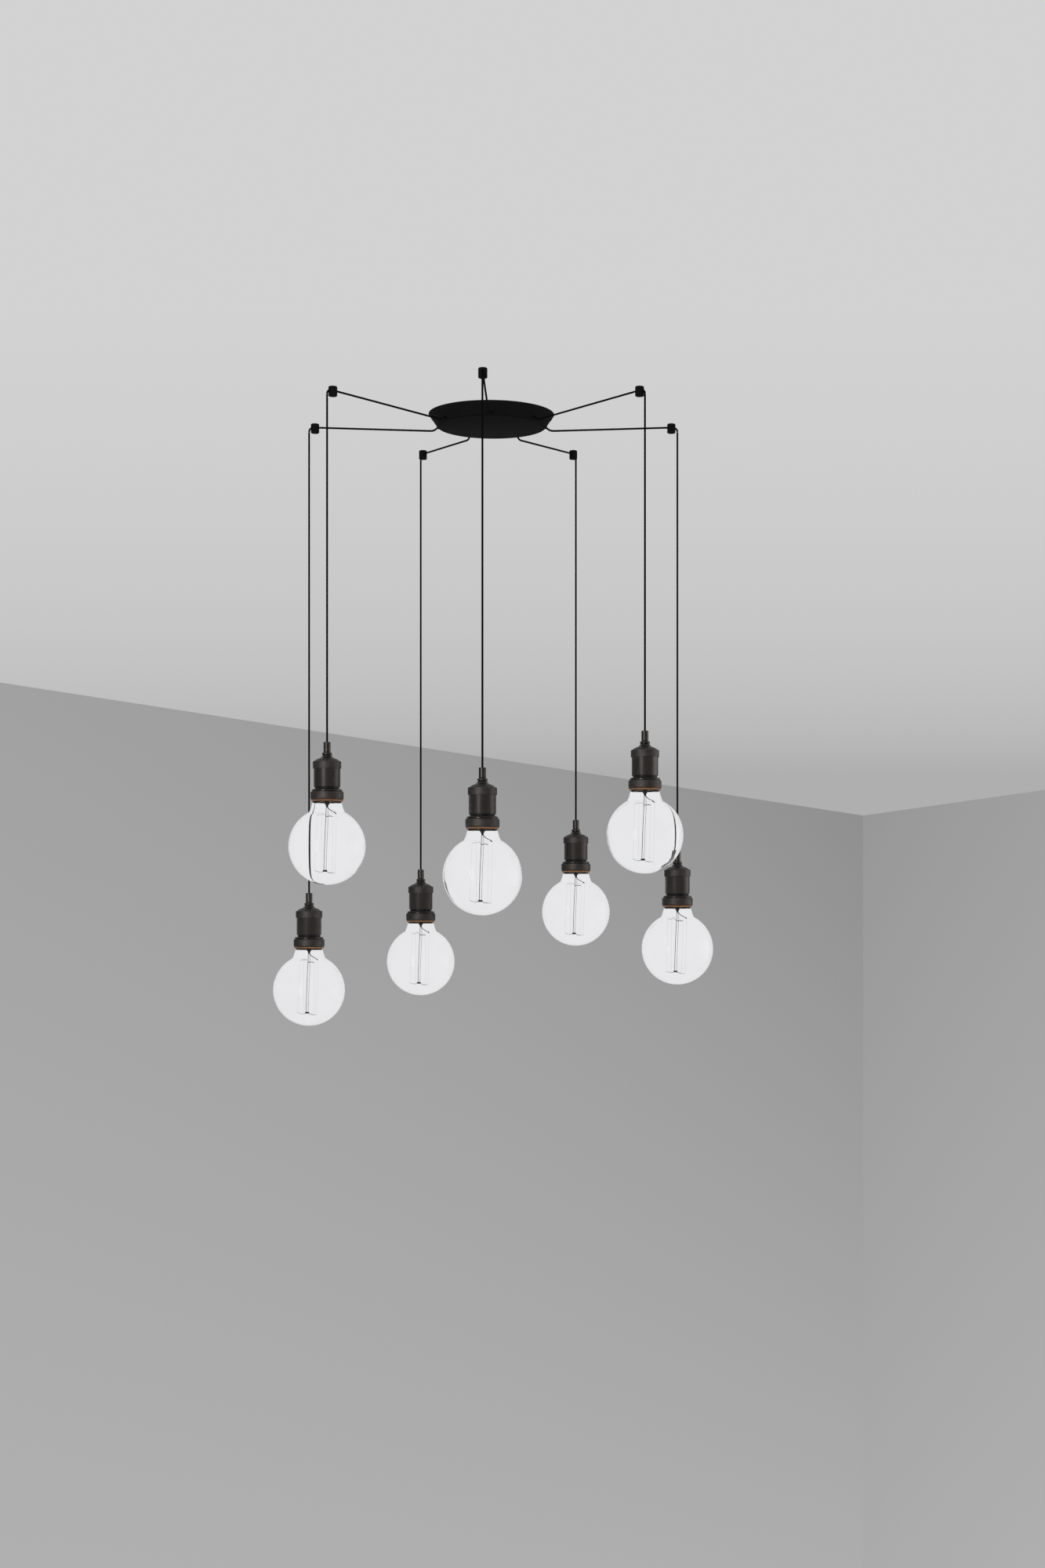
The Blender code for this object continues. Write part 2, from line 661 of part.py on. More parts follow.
def socket_shell():
    """The metal shell: cord tube, collar, flared neck, dome, wide band and smooth sleeve, open below."""
    cord_bore = CORD_RADIUS + SEAT_GAP
    profile = (
        (GRIP_RADIUS, 0.0),
        (GRIP_RADIUS, GRIP_LENGTH),
        (COLLAR_RADIUS, GRIP_LENGTH + COLLAR_EDGE),
        (COLLAR_RADIUS, COLLAR_DEPTH - COLLAR_EDGE),
        (NECK_RADIUS - COLLAR_EDGE, COLLAR_DEPTH),
        (SHOULDER_RADIUS, SHOULDER_DEPTH),
        (DOME_RADIUS, DOME_DEPTH),
        (BAND_RADIUS, DOME_DEPTH),
        (BAND_RADIUS, BAND_DEPTH),
        (SLEEVE_RADIUS, BAND_DEPTH),
        (SLEEVE_RADIUS, SLEEVE_DEPTH),
        (SLEEVE_BORE_RADIUS, SLEEVE_DEPTH),
        (SLEEVE_BORE_RADIUS, DOME_DEPTH + SHELL_WALL),
        (SHOULDER_RADIUS - SHELL_WALL, SHOULDER_DEPTH + SHELL_WALL),
        (cord_bore, SHOULDER_DEPTH + SHELL_WALL),
        (cord_bore, 0.0),
    )
    return turned_mesh("socket_shell", profile, LAMP_SEGMENTS, True)


def socket_insert():
    """The insulating insert: a thick top, a screw shell for the bulb, and a skirt that carries the ring."""
    skirt_bore = INSERT_RADIUS - INSERT_SKIRT_WALL
    mouth_bore = INSERT_MOUTH_RADIUS - INSERT_MOUTH_WALL
    cone_end = RING_STEP_DEPTH + MOUTH_CONE_HEIGHT
    profile = (
        (0.0, INSERT_TOP_DEPTH),
        (INSERT_RADIUS, INSERT_TOP_DEPTH),
        (INSERT_RADIUS, RING_STEP_DEPTH),
        (INSERT_MOUTH_RADIUS, cone_end),
        (INSERT_MOUTH_RADIUS, INSERT_BOTTOM_DEPTH),
        (mouth_bore, INSERT_BOTTOM_DEPTH),
        (mouth_bore, cone_end + INSERT_MOUTH_WALL),
        (skirt_bore, RING_STEP_DEPTH),
        (skirt_bore, SCREW_SHELL_END_DEPTH),
        (SCREW_SHELL_RADIUS, SCREW_SHELL_END_DEPTH),
        (SCREW_SHELL_RADIUS, SCREW_SHELL_TOP_DEPTH),
        (0.0, SCREW_SHELL_TOP_DEPTH),
    )
    return turned_mesh("socket_insert", profile, LAMP_SEGMENTS, False)


def shade_ring():
    """The ring below the shell: a rounded flange, a wide band and a tapered lip."""
    cone_start = RING_STEP_DEPTH - SEAT_GAP
    profile = (
        (RING_FLANGE_RADIUS - RING_FLANGE_EDGE, RING_TOP_DEPTH),
        (RING_FLANGE_RADIUS, RING_TOP_DEPTH + RING_FLANGE_EDGE),
        (RING_FLANGE_RADIUS, RING_BAND_DEPTH),
        (RING_RADIUS, RING_BAND_DEPTH),
        (RING_RADIUS, RING_TAPER_DEPTH),
        (RING_LIP_RADIUS, RING_BOTTOM_DEPTH),
        (RING_MOUTH_RADIUS, RING_BOTTOM_DEPTH),
        (RING_MOUTH_RADIUS, cone_start + MOUTH_CONE_HEIGHT),
        (RING_BORE_RADIUS, cone_start),
        (RING_BORE_RADIUS, RING_TOP_DEPTH),
    )
    return turned_mesh("shade_ring", profile, LAMP_SEGMENTS, True)


def bulb_core():
    """The bulb's cap with the glass stem, the rod and its wire arms."""
    waist_depth = CAP_BOTTOM_DEPTH + STEM_WAIST_LENGTH
    rod_depth = waist_depth + STEM_CONE_LENGTH
    anchor_depth = rod_depth + ROD_LENGTH
    profile = (
        (0.0, CAP_TOP_DEPTH),
        (CAP_CONTACT_RADIUS, CAP_TOP_DEPTH),
        (CAP_CONE_RADIUS, CAP_TOP_DEPTH + CAP_CONE_HEIGHT / 2.0),
        (CAP_RADIUS, CAP_TOP_DEPTH + CAP_CONE_HEIGHT),
        (CAP_RADIUS, CAP_BOTTOM_DEPTH),
        (STEM_ROOT_RADIUS, CAP_BOTTOM_DEPTH),
        (STEM_WAIST_RADIUS, waist_depth),
        (ROD_RADIUS, rod_depth),
        (ROD_RADIUS, anchor_depth),
        (ANCHOR_RADIUS, anchor_depth),
        (ANCHOR_RADIUS, anchor_depth + ANCHOR_HEIGHT),
        (0.0, anchor_depth + ANCHOR_HEIGHT),
    )
    core = turned_mesh("bulb_core", profile, LAMP_SEGMENTS, False)
    lower_depth = anchor_depth + ANCHOR_HEIGHT / 2.0
    lower_arm = rod_mesh(
        "lower_arm",
        ARM_RADIUS,
        (-LOWER_ARM_REACH, 0, -lower_depth),
        (LOWER_ARM_REACH, 0, -lower_depth),
        ARM_SEGMENTS,
    )
    upper_depth = rod_depth + UPPER_ARM_DROP / 2.0
    upper_arm = rod_mesh(
        "upper_arm",
        ARM_RADIUS,
        (-UPPER_ARM_REACH, 0, -upper_depth - UPPER_ARM_DROP / 2.0),
        (UPPER_ARM_REACH, 0, -upper_depth),
        ARM_SEGMENTS,
    )
    return combined_mesh("bulb_core", core, "UNION", (lower_arm, upper_arm))


def globe_points(radius, join_radius):
    """Radius and depth along a globe from where the neck joins it, past its widest ring, to its pole."""
    start = math.asin(join_radius / radius)
    widest = FULL_TURN / 4.0
    points = []
    upper = [start + (widest - start) * ring / GLOBE_UPPER_RINGS for ring in range(GLOBE_UPPER_RINGS)]
    lower = [widest + widest * ring / GLOBE_LOWER_RINGS for ring in range(GLOBE_LOWER_RINGS)]
    for polar in upper + lower:
        points.append((radius * math.sin(polar), GLOBE_CENTRE_DEPTH - radius * math.cos(polar)))
    points.append((0.0, GLOBE_CENTRE_DEPTH + radius))
    return points


def bulb_glass():
    """The globe bulb's glass, one thin wall open where it meets the cap."""
    mouth_depth = INSERT_BOTTOM_DEPTH - SEAT_GAP
    outer = [
        (GLASS_NECK_RADIUS, GLASS_TOP_DEPTH),
        (GLASS_NECK_MID_RADIUS, GLASS_TOP_DEPTH + GLASS_NECK_MID_LENGTH),
        (GLASS_MOUTH_RADIUS, mouth_depth),
        (GLASS_SHOULDER_RADIUS, mouth_depth + GLASS_SHOULDER_HEIGHT),
    ] + globe_points(GLOBE_RADIUS, GLOBE_JOIN_RADIUS)
    inner = [
        (GLASS_NECK_RADIUS - GLASS_WALL, GLASS_TOP_DEPTH),
        (GLASS_NECK_MID_RADIUS - GLASS_WALL, GLASS_TOP_DEPTH + GLASS_NECK_MID_LENGTH),
        (GLASS_MOUTH_RADIUS - GLASS_WALL, mouth_depth + GLASS_WALL / 2.0),
    ] + globe_points(GLOBE_RADIUS - GLASS_WALL, GLOBE_JOIN_RADIUS - GLASS_WALL)
    profile = outer + inner[::-1] + [outer[0]]
    return turned_mesh("bulb_glass", profile, GLOBE_SEGMENTS, False)


def build_ceiling_parts():
    """Everything fixed to the ceiling."""
    finish_part("ceiling_bracket", ceiling_bracket(), "zinc_steel")
    finish_part("canopy_shell", canopy_shell(), "black_enamel")
    finish_part("canopy_screw", canopy_screw(), "black_enamel")
    finish_part("terminal_block", terminal_block(), "white_nylon")
    hook = ceiling_hook()
    block_ends = block_places()
    for index in range(PENDANTS):
        number = index + 1
        hook_centre = radial_place(index) @ Vector((HOOK_CIRCLE_RADIUS, 0.0, 0.0))
        finish_part(f"ceiling_hook_{number}", hook, "black_enamel", None, hook_centre, heading(index))
        finish_part(f"feed_cord_{number}", feed_cord(index, *block_ends[index]), "black_cord")


def build_pendants():
    """Each pendant hangs from an empty at its hinge point, its lamp under an empty at the lamp's top."""
    lamp_pieces = (
        ("socket_shell", socket_shell(), "bronze_aluminium"),
        ("socket_insert", socket_insert(), "black_phenolic"),
        ("shade_ring", shade_ring(), "bronze_aluminium"),
        ("bulb_glass", bulb_glass(), "milky_glass"),
        ("bulb_core", bulb_core(), "cap_nickel"),
    )
    for index in range(PENDANTS):
        number = index + 1
        hinge = radial_place(index) @ Vector((PENDANT_CIRCLE_RADIUS, 0.0, -HINGE_DEPTH))
        swing = add_pivot(f"swing_pivot_{number}", hinge)
        finish_part(f"drop_cord_{number}", drop_cord(index), "black_cord", swing)
        lamp_drop = HINGE_DEPTH - LAMP_TOP_DEPTHS[index]
        lamp = add_pivot(f"lamp_axis_{number}", (0.0, 0.0, lamp_drop), swing)
        for name, mesh, finish in lamp_pieces:
            finish_part(f"{name}_{number}", mesh, finish, lamp)


clear_scene()
PARTS = new_collection("chandelier")
CUTTERS = new_collection("cutters")
build_ceiling_parts()
build_pendants()
bpy.context.view_layer.update()
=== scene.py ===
"""Spider chandelier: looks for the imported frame. One operator makes each group of pieces.

Axes: Z up, the viewer at -Y, the ceiling at Z = 0. Tables marked MM are in millimetres.
"""

import math

import bmesh
import bpy
from bpy.props import FloatProperty, FloatVectorProperty, IntProperty, PointerProperty
from bpy.types import Operator, Panel, PropertyGroup
from mathutils import Matrix, Vector
from mathutils.geometry import interpolate_bezier


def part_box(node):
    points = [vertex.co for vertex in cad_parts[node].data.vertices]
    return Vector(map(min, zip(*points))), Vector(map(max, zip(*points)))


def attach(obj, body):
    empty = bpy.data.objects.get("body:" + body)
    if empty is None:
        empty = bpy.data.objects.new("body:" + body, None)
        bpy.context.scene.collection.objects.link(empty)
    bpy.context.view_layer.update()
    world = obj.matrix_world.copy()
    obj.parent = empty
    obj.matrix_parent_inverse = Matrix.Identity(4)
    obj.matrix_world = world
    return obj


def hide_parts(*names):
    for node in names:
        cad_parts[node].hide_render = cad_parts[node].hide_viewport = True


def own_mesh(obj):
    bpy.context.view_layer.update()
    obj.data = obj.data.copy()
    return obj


bl_info = {
    "name": "Spider chandelier",
    "version": (1, 0, 0),
    "blender": (4, 5, 0),
    "location": "3D View > Sidebar > Chandelier",
    "description": "Builds the visible pieces of a spider chandelier round its packed frame",
    "category": "Add Mesh",
}

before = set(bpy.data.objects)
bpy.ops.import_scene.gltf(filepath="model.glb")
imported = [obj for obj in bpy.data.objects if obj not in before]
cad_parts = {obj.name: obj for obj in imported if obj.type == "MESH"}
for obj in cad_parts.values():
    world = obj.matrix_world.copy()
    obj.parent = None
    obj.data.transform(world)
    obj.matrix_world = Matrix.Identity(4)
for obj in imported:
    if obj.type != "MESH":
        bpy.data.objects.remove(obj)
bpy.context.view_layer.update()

MM = 0.001
FULL_TURN = math.tau
PENDANTS = 7
NUMBERS = range(1, PENDANTS + 1)
WELD = 0.000001
# Edges sharper than the first stay sharp in the shading, and those sharper than the second are bevelled
SMOOTH_ANGLE = math.radians(38.0)
BEVEL_ANGLE = math.radians(28.0)
# What glass shows behind it, as a white studio sweep would
SWEEP = "#f9f9f9"


def axis_of(node):
    """The vertical centre line and the top of a turned node."""
    low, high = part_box(node)
    return Vector(((low.x + high.x) / 2.0, (low.y + high.y) / 2.0, high.z))


# Where the pieces of the frame are
LAMP_TOPS = {number: axis_of(f"socket_shell_{number}") for number in NUMBERS}
HOOK_CENTRES = {number: axis_of(f"ceiling_hook_{number}") for number in NUMBERS}
BLOCK_LOW, BLOCK_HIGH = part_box("terminal_block")


def radial(number):
    """Turns a shape built along +X towards a pendant."""
    return Matrix.Rotation(-FULL_TURN * (number - 1) / PENDANTS - math.pi / 2.0, 4, "Z")


# Route of every cord from behind the canopy's wall to its hook, as radius and depth
FEED_ROUTE_MM = (
    (83.74, 12.76), (88.66, 16.20), (92.50, 18.80), (95.60, 20.40), (100.00, 21.00),
    (110.00, 20.35), (200.00, 13.35), (280.00, 7.15), (290.00, 6.45), (296.50, 6.20),
    (300.70, 6.20), (303.00, 6.66), (304.94, 7.96), (306.24, 9.90), (306.70, 12.20),
)
# The inner leads leave the terminal block straight, then bend to the wall by these lengths, one a pendant
BLOCK_CORD_DEPTH_MM = 9.0
BLOCK_STRAIGHT_MM = 1.0
BLOCK_BENDS_MM = (18.0, 28.0, 22.0, 24.0, 42.0, 22.0, 12.0)
WALL_BENDS_MM = (20.0, 24.0, 26.0, 22.0, 12.0, 12.0, 14.0)
BLOCK_GAP_MM = 0.3
# The cords on the block's far and near side, in their order from left to right
FAR_CORDS = (3, 4, 5, 6)
NEAR_CORDS = (2, 1, 7)
INNER_STEPS = 8
# Steps between two given points of a route, and how round the tubes of cords and of wires are
ROUTE_STEPS = 4
CORD_ROUNDNESS = 4
WIRE_ROUNDNESS = 2
DROP_TOP_MM = 12.5
CORD_END_BELOW_LAMP_TOP_MM = 30.7
DROP_STEPS = 24
# The hanging cord's top is drawn in, so that it swings free of the ceiling cord's end
CORD_NECK_MM = 0.8
CORD_NECK_SHARE = 0.4


def srgb(hex_text):
    """Linear red, green, blue and alpha from an sRGB hex colour."""
    parts = [int(hex_text[place : place + 2], 16) / 255.0 for place in (1, 3, 5)]
    linear = [part / 12.92 if part <= 0.04045 else ((part + 0.055) / 1.055) ** 2.4 for part in parts]
    return (*linear, 1.0)


class StageSettings(PropertyGroup):
    """Camera, room and lights."""

    camera_place: FloatVectorProperty(
        name="Camera place",
        description="Where the camera stands",
        default=(0.1538, -3.5917, -0.8285),
        unit="LENGTH",
    )
    lens: FloatProperty(name="Lens", description="Camera's focal length", default=51.755, unit="CAMERA")
    shift_right: FloatProperty(
        name="Shift right", description="Sideways shift of the frame", default=-0.04175
    )
    shift_up: FloatProperty(name="Shift up", description="Upward shift of the frame", default=0.09607)
    floor_depth: FloatProperty(
        name="Floor depth", description="Floor below the ceiling", default=5.4, unit="LENGTH"
    )
    light_level: FloatProperty(
        name="Light level", description="Strength of the even light", default=0.36, min=0.0
    )
    lamp_power: FloatProperty(
        name="Lamp power",
        description="Watts that each soft lamp has its share of",
        default=47.0,
        unit="POWER",
    )


class CanopySettings(PropertyGroup):
    """The pan on the ceiling."""

    rim_radius: FloatProperty(
        name="Rim radius", description="Outer radius at the ceiling", default=0.100, unit="LENGTH"
    )
    face_radius: FloatProperty(
        name="Face radius", description="Radius of the flat face", default=0.086, unit="LENGTH"
    )
    depth: FloatProperty(name="Depth", description="Height of the pan", default=0.020, unit="LENGTH")
    wall: FloatProperty(name="Wall", description="Sheet thickness", default=0.0012, unit="LENGTH")
    colour: FloatVectorProperty(
        name="Colour", description="Colour of the powder coat", default=srgb("#141415")[:3], subtype="COLOR"
    )


class HookSettings(PropertyGroup):
    """The small round hooks on the ceiling."""

    radius: FloatProperty(name="Radius", description="Outer radius", default=0.00675, unit="LENGTH")
    height: FloatProperty(name="Height", description="Depth below ceiling", default=0.015, unit="LENGTH")
    edge: FloatProperty(name="Edge", description="Rounding of both edges", default=0.0010, unit="LENGTH")


class CordSettings(PropertyGroup):
    """The cords."""

    radius: FloatProperty(
        name="Radius", description="Outer radius of the sheath", default=0.0015, unit="LENGTH"
    )
    colour: FloatVectorProperty(
        name="Colour", description="Colour of the sheath", default=srgb("#080808")[:3], subtype="COLOR"
    )


class HolderSettings(PropertyGroup):
    """The metal lampholder and its shade ring."""

    segments: IntProperty(name="Segments", description="Sides of the knurled pieces", default=288, min=24)
    knurl_depth: FloatProperty(
        name="Knurl depth", description="Height of a knurl", default=0.00030, unit="LENGTH"
    )
    metal: FloatVectorProperty(
        name="Metal", description="Colour of the dark bronze", default=srgb("#383432")[:3], subtype="COLOR"
    )


class BulbSettings(PropertyGroup):
    """The globe bulb."""

    globe_radius: FloatProperty(
        name="Globe radius", description="Outer radius", default=0.0582, unit="LENGTH"
    )
    glass_wall: FloatProperty(
        name="Glass wall", description="Thickness of the glass", default=0.0010, unit="LENGTH"
    )
    glass_colour: FloatVectorProperty(
        name="Glass colour", description="Tint of the glass", default=srgb("#f8f8f9")[:3], subtype="COLOR"
    )


def link_inputs(tree, node, inputs):
    """Set a node's inputs. A value is set, and another node or its socket is linked."""
    for socket, value in inputs.items():
        if isinstance(value, bpy.types.Node):
            value = next(output for output in value.outputs if output.enabled)
        if isinstance(value, bpy.types.NodeSocket):
            tree.links.new(value, node.inputs[socket])
        else:
            node.inputs[socket].default_value = value


def add_node(tree, kind, inputs=None, **settings):
    """Add a node with its settings and links."""
    node = tree.nodes.new(kind)
    for name, value in settings.items():
        setattr(node, name, value)
    link_inputs(tree, node, inputs or {})
    return node


def new_material(name):
    """A Principled material by name, with its tree, its shader and its Object coordinates."""
    material = bpy.data.materials.new(name)
    material.use_nodes = True
    tree = material.node_tree
    place = add_node(tree, "ShaderNodeTexCoord").outputs["Object"]
    return material, tree, tree.nodes["Principled BSDF"], place


def grain(size_mm):
    """The texture scale whose features are about this many millimetres across."""
    return 1.0 / (size_mm * MM)


def times(colour, share):
    """A colour made lighter or darker by a share, with its alpha."""
    return (*(min(1.0, part * share) for part in colour[:3]), 1.0)


def shade(tree, shader, tone_by, tones, gloss_by, gloss, relief=0.0, strength=1.0):
    """Mix two tones by one pattern. Another may set the roughness and a relief of a height in metres."""
    ends = {"Factor": tone_by, 6: tones[0], 7: tones[1]}
    tone = add_node(tree, "ShaderNodeMix", ends, data_type="RGBA")
    link_inputs(tree, shader, {"Base Color": tone})
    if gloss:
        ends = {"Value": gloss_by, "To Min": gloss[0], "To Max": gloss[1]}
        link_inputs(tree, shader, {"Roughness": add_node(tree, "ShaderNodeMapRange", ends)})
    if relief:
        heights = {"Height": gloss_by, "Distance": relief, "Strength": strength}
        link_inputs(tree, shader, {"Normal": add_node(tree, "ShaderNodeBump", heights)})


def mottled(name, tones, patches, gloss=None, sockets=None, relief=0.0, grit=None):
    """A material whose tone follows one noise, and whose gloss and relief follow the same or a finer one.

    A noise is given as its size in millimetres and its detail.
    """
    material, tree, shader, place = new_material(name)
    noises = [
        add_node(tree, "ShaderNodeTexNoise", {"Vector": place, "Scale": grain(size_mm), "Detail": detail})
        for size_mm, detail in ([patches, grit] if grit else [patches])
    ]
    shade(tree, shader, noises[0], tones, noises[-1], gloss, relief)
    link_inputs(tree, shader, sockets or {})
    return material


def black_powder_coat(name):
    """Steel sheet powder coated matte black: a fine orange peel of 0.7 mm breaks up the sheen."""
    colour = bpy.context.scene.chandelier_canopy.colour
    tones = (times(colour, 0.8), times(colour, 1.25))
    sockets = {"Specular IOR Level": 0.012}
    return mottled(name, tones, (26.0, 2.0), (0.50, 0.66), sockets, 0.00005, grit=(0.7, 3.0))


def black_cord_sheath(name):
    """Round textile sheath, black: a tight weave of about 0.6 mm keeps it matte."""
    colour = bpy.context.scene.chandelier_cord.colour
    material, tree, shader, place = new_material(name)
    weave = add_node(tree, "ShaderNodeTexVoronoi", {"Vector": place, "Scale": grain(0.6)})
    tones = (times(colour, 0.6), times(colour, 1.5))
    shade(tree, shader, weave, tones, weave, (0.75, 0.92), relief=0.00008)
    shader.inputs["Specular IOR Level"].default_value = 0.03
    return material


def lined_bronze(name, round_mm, line_mm, shares, gloss, strength):
    """Aluminium anodised dark bronze, with fine lines round its axis and a patina of about 8 mm."""
    colour = bpy.context.scene.chandelier_holder.metal
    material, tree, shader, place = new_material(name)
    # The texture is stretched round the axis, and its lines are coarser than real ones so that they show
    scale = (grain(round_mm), grain(round_mm), grain(line_mm))
    flat = add_node(tree, "ShaderNodeMapping", {"Vector": place, "Scale": scale})
    lines = add_node(tree, "ShaderNodeTexNoise", {"Vector": flat, "Scale": 1.0, "Detail": 2.0})
    patina = add_node(tree, "ShaderNodeTexNoise", {"Vector": place, "Scale": grain(8.0), "Detail": 4.0})
    tones = [times(colour, share) for share in shares]
    shade(tree, shader, patina, tones, lines, gloss, relief=0.00002, strength=strength)
    shader.inputs["Metallic"].default_value = 1.0
    return material


def bronze_anodised_aluminium(name):
    """Turned and anodised aluminium of the shade ring: lines of 0.4 mm and a satin gloss."""
    return lined_bronze(name, 160.0, 0.4, (0.8, 1.2), (0.17, 0.25), 0.12)


def bronze_brushed_aluminium(name):
    """The same aluminium, brushed, on sleeve and cord grip: lines of 0.3 mm spread its sheen wide."""
    return lined_bronze(name, 120.0, 0.3, (0.95, 1.35), (0.29, 0.37), 0.2)


def bronze_blasted_aluminium(name):
    """The same aluminium, blasted, on dome and knurls: dust in patches of 4 mm, and a dry grit.

    The real grit is about 0.1 mm. It is drawn at 0.5 mm so that it shows.
    """
    colour = bpy.context.scene.chandelier_holder.metal
    tones = (times(colour, 0.5), times(colour, 1.8))
    return mottled(name, tones, (4.0, 5.0), (0.42, 0.60), {"Metallic": 0.85}, 0.00008, grit=(0.5, 4.0))


def raw_copper(name):
    """Bare turned copper alloy at the ring's lip: warm, tarnished in patches of 5.5 mm."""
    tones = (srgb("#7a5334"), srgb("#b98a60"))
    return mottled(name, tones, (5.5, 4.0), (0.30, 0.46), {"Metallic": 1.0})


def black_phenolic(name):
    """Moulded phenolic resin, black: smooth, with a low gloss and a faint flow mottle of 11 mm."""
    tones = (srgb("#0a0909"), srgb("#151413"))
    return mottled(name, tones, (11.0, 3.0), (0.46, 0.58), {"Specular IOR Level": 0.15})


def nickel_plate(name):
    """Nickel plated sheet: a warm grey metal with soft handling marks of 4.5 mm."""
    tones = (srgb("#a8a296"), srgb("#c9c3b6"))
    return mottled(name, tones, (4.5, 4.0), (0.20, 0.34), {"Metallic": 1.0})


def zinc_plate(name):
    """Zinc plated steel: cool grey with the cloudy spangle of the bath, about 4 mm across."""
    material, tree, shader, place = new_material(name)
    cells = add_node(tree, "ShaderNodeTexVoronoi", {"Vector": place, "Scale": grain(4.0)})
    spangle = cells.outputs["Color"]
    shade(tree, shader, spangle, (srgb("#9fa3a8"), srgb("#c6cacd")), spangle, (0.30, 0.44))
    shader.inputs["Metallic"].default_value = 1.0
    return material


def brass(name):
    """Brass of the terminals and the screw shells: yellow metal, tarnished in spots of 3.3 mm."""
    tones = (srgb("#a5833f"), srgb("#cfae66"))
    return mottled(name, tones, (3.3, 3.0), (0.25, 0.40), {"Metallic": 1.0})


def white_nylon(name):
    """Moulded white nylon: a soft sheen and a faint mould texture of about 1.5 mm."""
    return mottled(name, (srgb("#e2e0d8"), srgb("#efeee8")), (1.5, 2.0), (0.42, 0.55), relief=0.00003)


def black_nylon(name):
    """Moulded black nylon of the grommets; on the seam it is painted shade of the gap. Dull and darker than
    the coat round them.
    """
    tones = (srgb("#040404"), srgb("#090909"))
    return mottled(name, tones, (1.1, 2.0), (0.55, 0.70), {"Specular IOR Level": 0.04})


def oxidised_wire(name):
    """Molybdenum and steel wire, darkened by the seal: near black with a dull sheen."""
    tones = (srgb("#191614"), srgb("#2d2826"))
    return mottled(name, tones, (1.1, 2.0), (0.4, 0.6), {"Metallic": 0.6})


def coiled_tungsten(name):
    """Coiled tungsten filament: a thin warm grey line. Its fine coils are drawn coarser, 0.4 mm apart."""
    tones = (srgb("#6d6560"), srgb("#9b918a"))
    return mottled(name, tones, (0.4, 1.0), (0.35, 0.55), {"Metallic": 0.8})


def stem_glass(name):
    """Clear drawn glass of the rod: nearly invisible but for a gloss down its length."""
    tones = (srgb("#e9e9ea"), srgb("#f8f8f8"))
    return mottled(name, tones, (5.0, 2.0), sockets={"Roughness": 0.08, "Alpha": 0.06})


def blown_glass(name):
    """Thin blown glass, clear and glossy, with a faint unevenness of 45 mm that the blow leaves in it."""
    tint = bpy.context.scene.chandelier_bulb.glass_colour
    sockets = {"Roughness": 0.02, "IOR": 1.13, "Transmission Weight": 1.0}
    return mottled(name, (times(tint, 0.96), times(tint, 1.0)), (45.0, 3.0), sockets=sockets)


def room_paint(name, dark, light, slope, base):
    """Plain paint that shows a grey to the camera and lets the studio light past it.

    The grey is painted shade of the room's light: it runs from dark to light as the place's dot product
    with slope, plus base, goes from 0 to 1.
    """
    material, tree, shader, place = new_material(name)
    tree.nodes.remove(shader)
    along = add_node(tree, "ShaderNodeVectorMath", {0: place, 1: slope}, operation="DOT_PRODUCT")
    factor = add_node(tree, "ShaderNodeMath", {0: along, 1: base}, operation="ADD", use_clamp=True)
    ends = {"Factor": factor, 6: srgb(dark), 7: srgb(light)}
    grey = add_node(tree, "ShaderNodeMix", ends, data_type="RGBA")
    path = add_node(tree, "ShaderNodeLightPath").outputs
    # Glass shows the studio's white sweep behind it
    behind = {"Factor": path["Is Transmission Ray"], 6: grey, 7: srgb(SWEEP)}
    tone = add_node(tree, "ShaderNodeMix", behind, data_type="RGBA")
    paint = add_node(tree, "ShaderNodeEmission", {"Color": tone})
    clear = add_node(tree, "ShaderNodeBsdfTransparent")
    rays = {0: path["Is Camera Ray"], 1: path["Is Glossy Ray"]}
    seen = add_node(tree, "ShaderNodeMath", rays, operation="MAXIMUM")
    seen = add_node(tree, "ShaderNodeMath", {0: seen, 1: path["Is Transmission Ray"]}, operation="MAXIMUM")
    back = add_node(tree, "ShaderNodeNewGeometry").outputs["Backfacing"]
    front = add_node(tree, "ShaderNodeMath", {0: 1.0, 1: back}, operation="SUBTRACT")
    shown = add_node(tree, "ShaderNodeMath", {0: seen, 1: front}, operation="MULTIPLY")
    mixed = add_node(tree, "ShaderNodeMixShader", {0: shown, 1: clear, 2: paint})
    link_inputs(tree, tree.nodes["Material Output"], {"Surface": mixed})
    return material


FINISHES = {}


def finish(maker):
    """The material a maker gives, made once."""
    if maker.__name__ not in FINISHES:
        FINISHES[maker.__name__] = maker(maker.__name__)
    return FINISHES[maker.__name__]


def merge_doubles(shape):
    """Merge a shape's doubled points and make its faces anew, as a merge leaves their order to chance."""
    bmesh.ops.remove_doubles(shape, verts=shape.verts, dist=WELD)
    shape.verts.index_update()
    places = [vertex.co.copy() for vertex in shape.verts]
    faces = [[vertex.index for vertex in face.verts] for face in shape.faces]
    shape.clear()
    vertices = [shape.verts.new(place) for place in places]
    for corners in sorted(faces, key=sorted):
        shape.faces.new([vertices[index] for index in corners])


def mesh_from(shape, name, walled=False):
    """The finished mesh of a bmesh, smooth but for its true edges. A walled shell keeps its normals."""
    merge_doubles(shape)
    if not walled:
        bmesh.ops.recalc_face_normals(shape, faces=shape.faces)
    mesh = bpy.data.meshes.new(name)
    shape.to_mesh(mesh)
    shape.free()
    mesh.shade_smooth()
    mesh.set_sharp_from_angle(angle=SMOOTH_ANGLE)
    return mesh


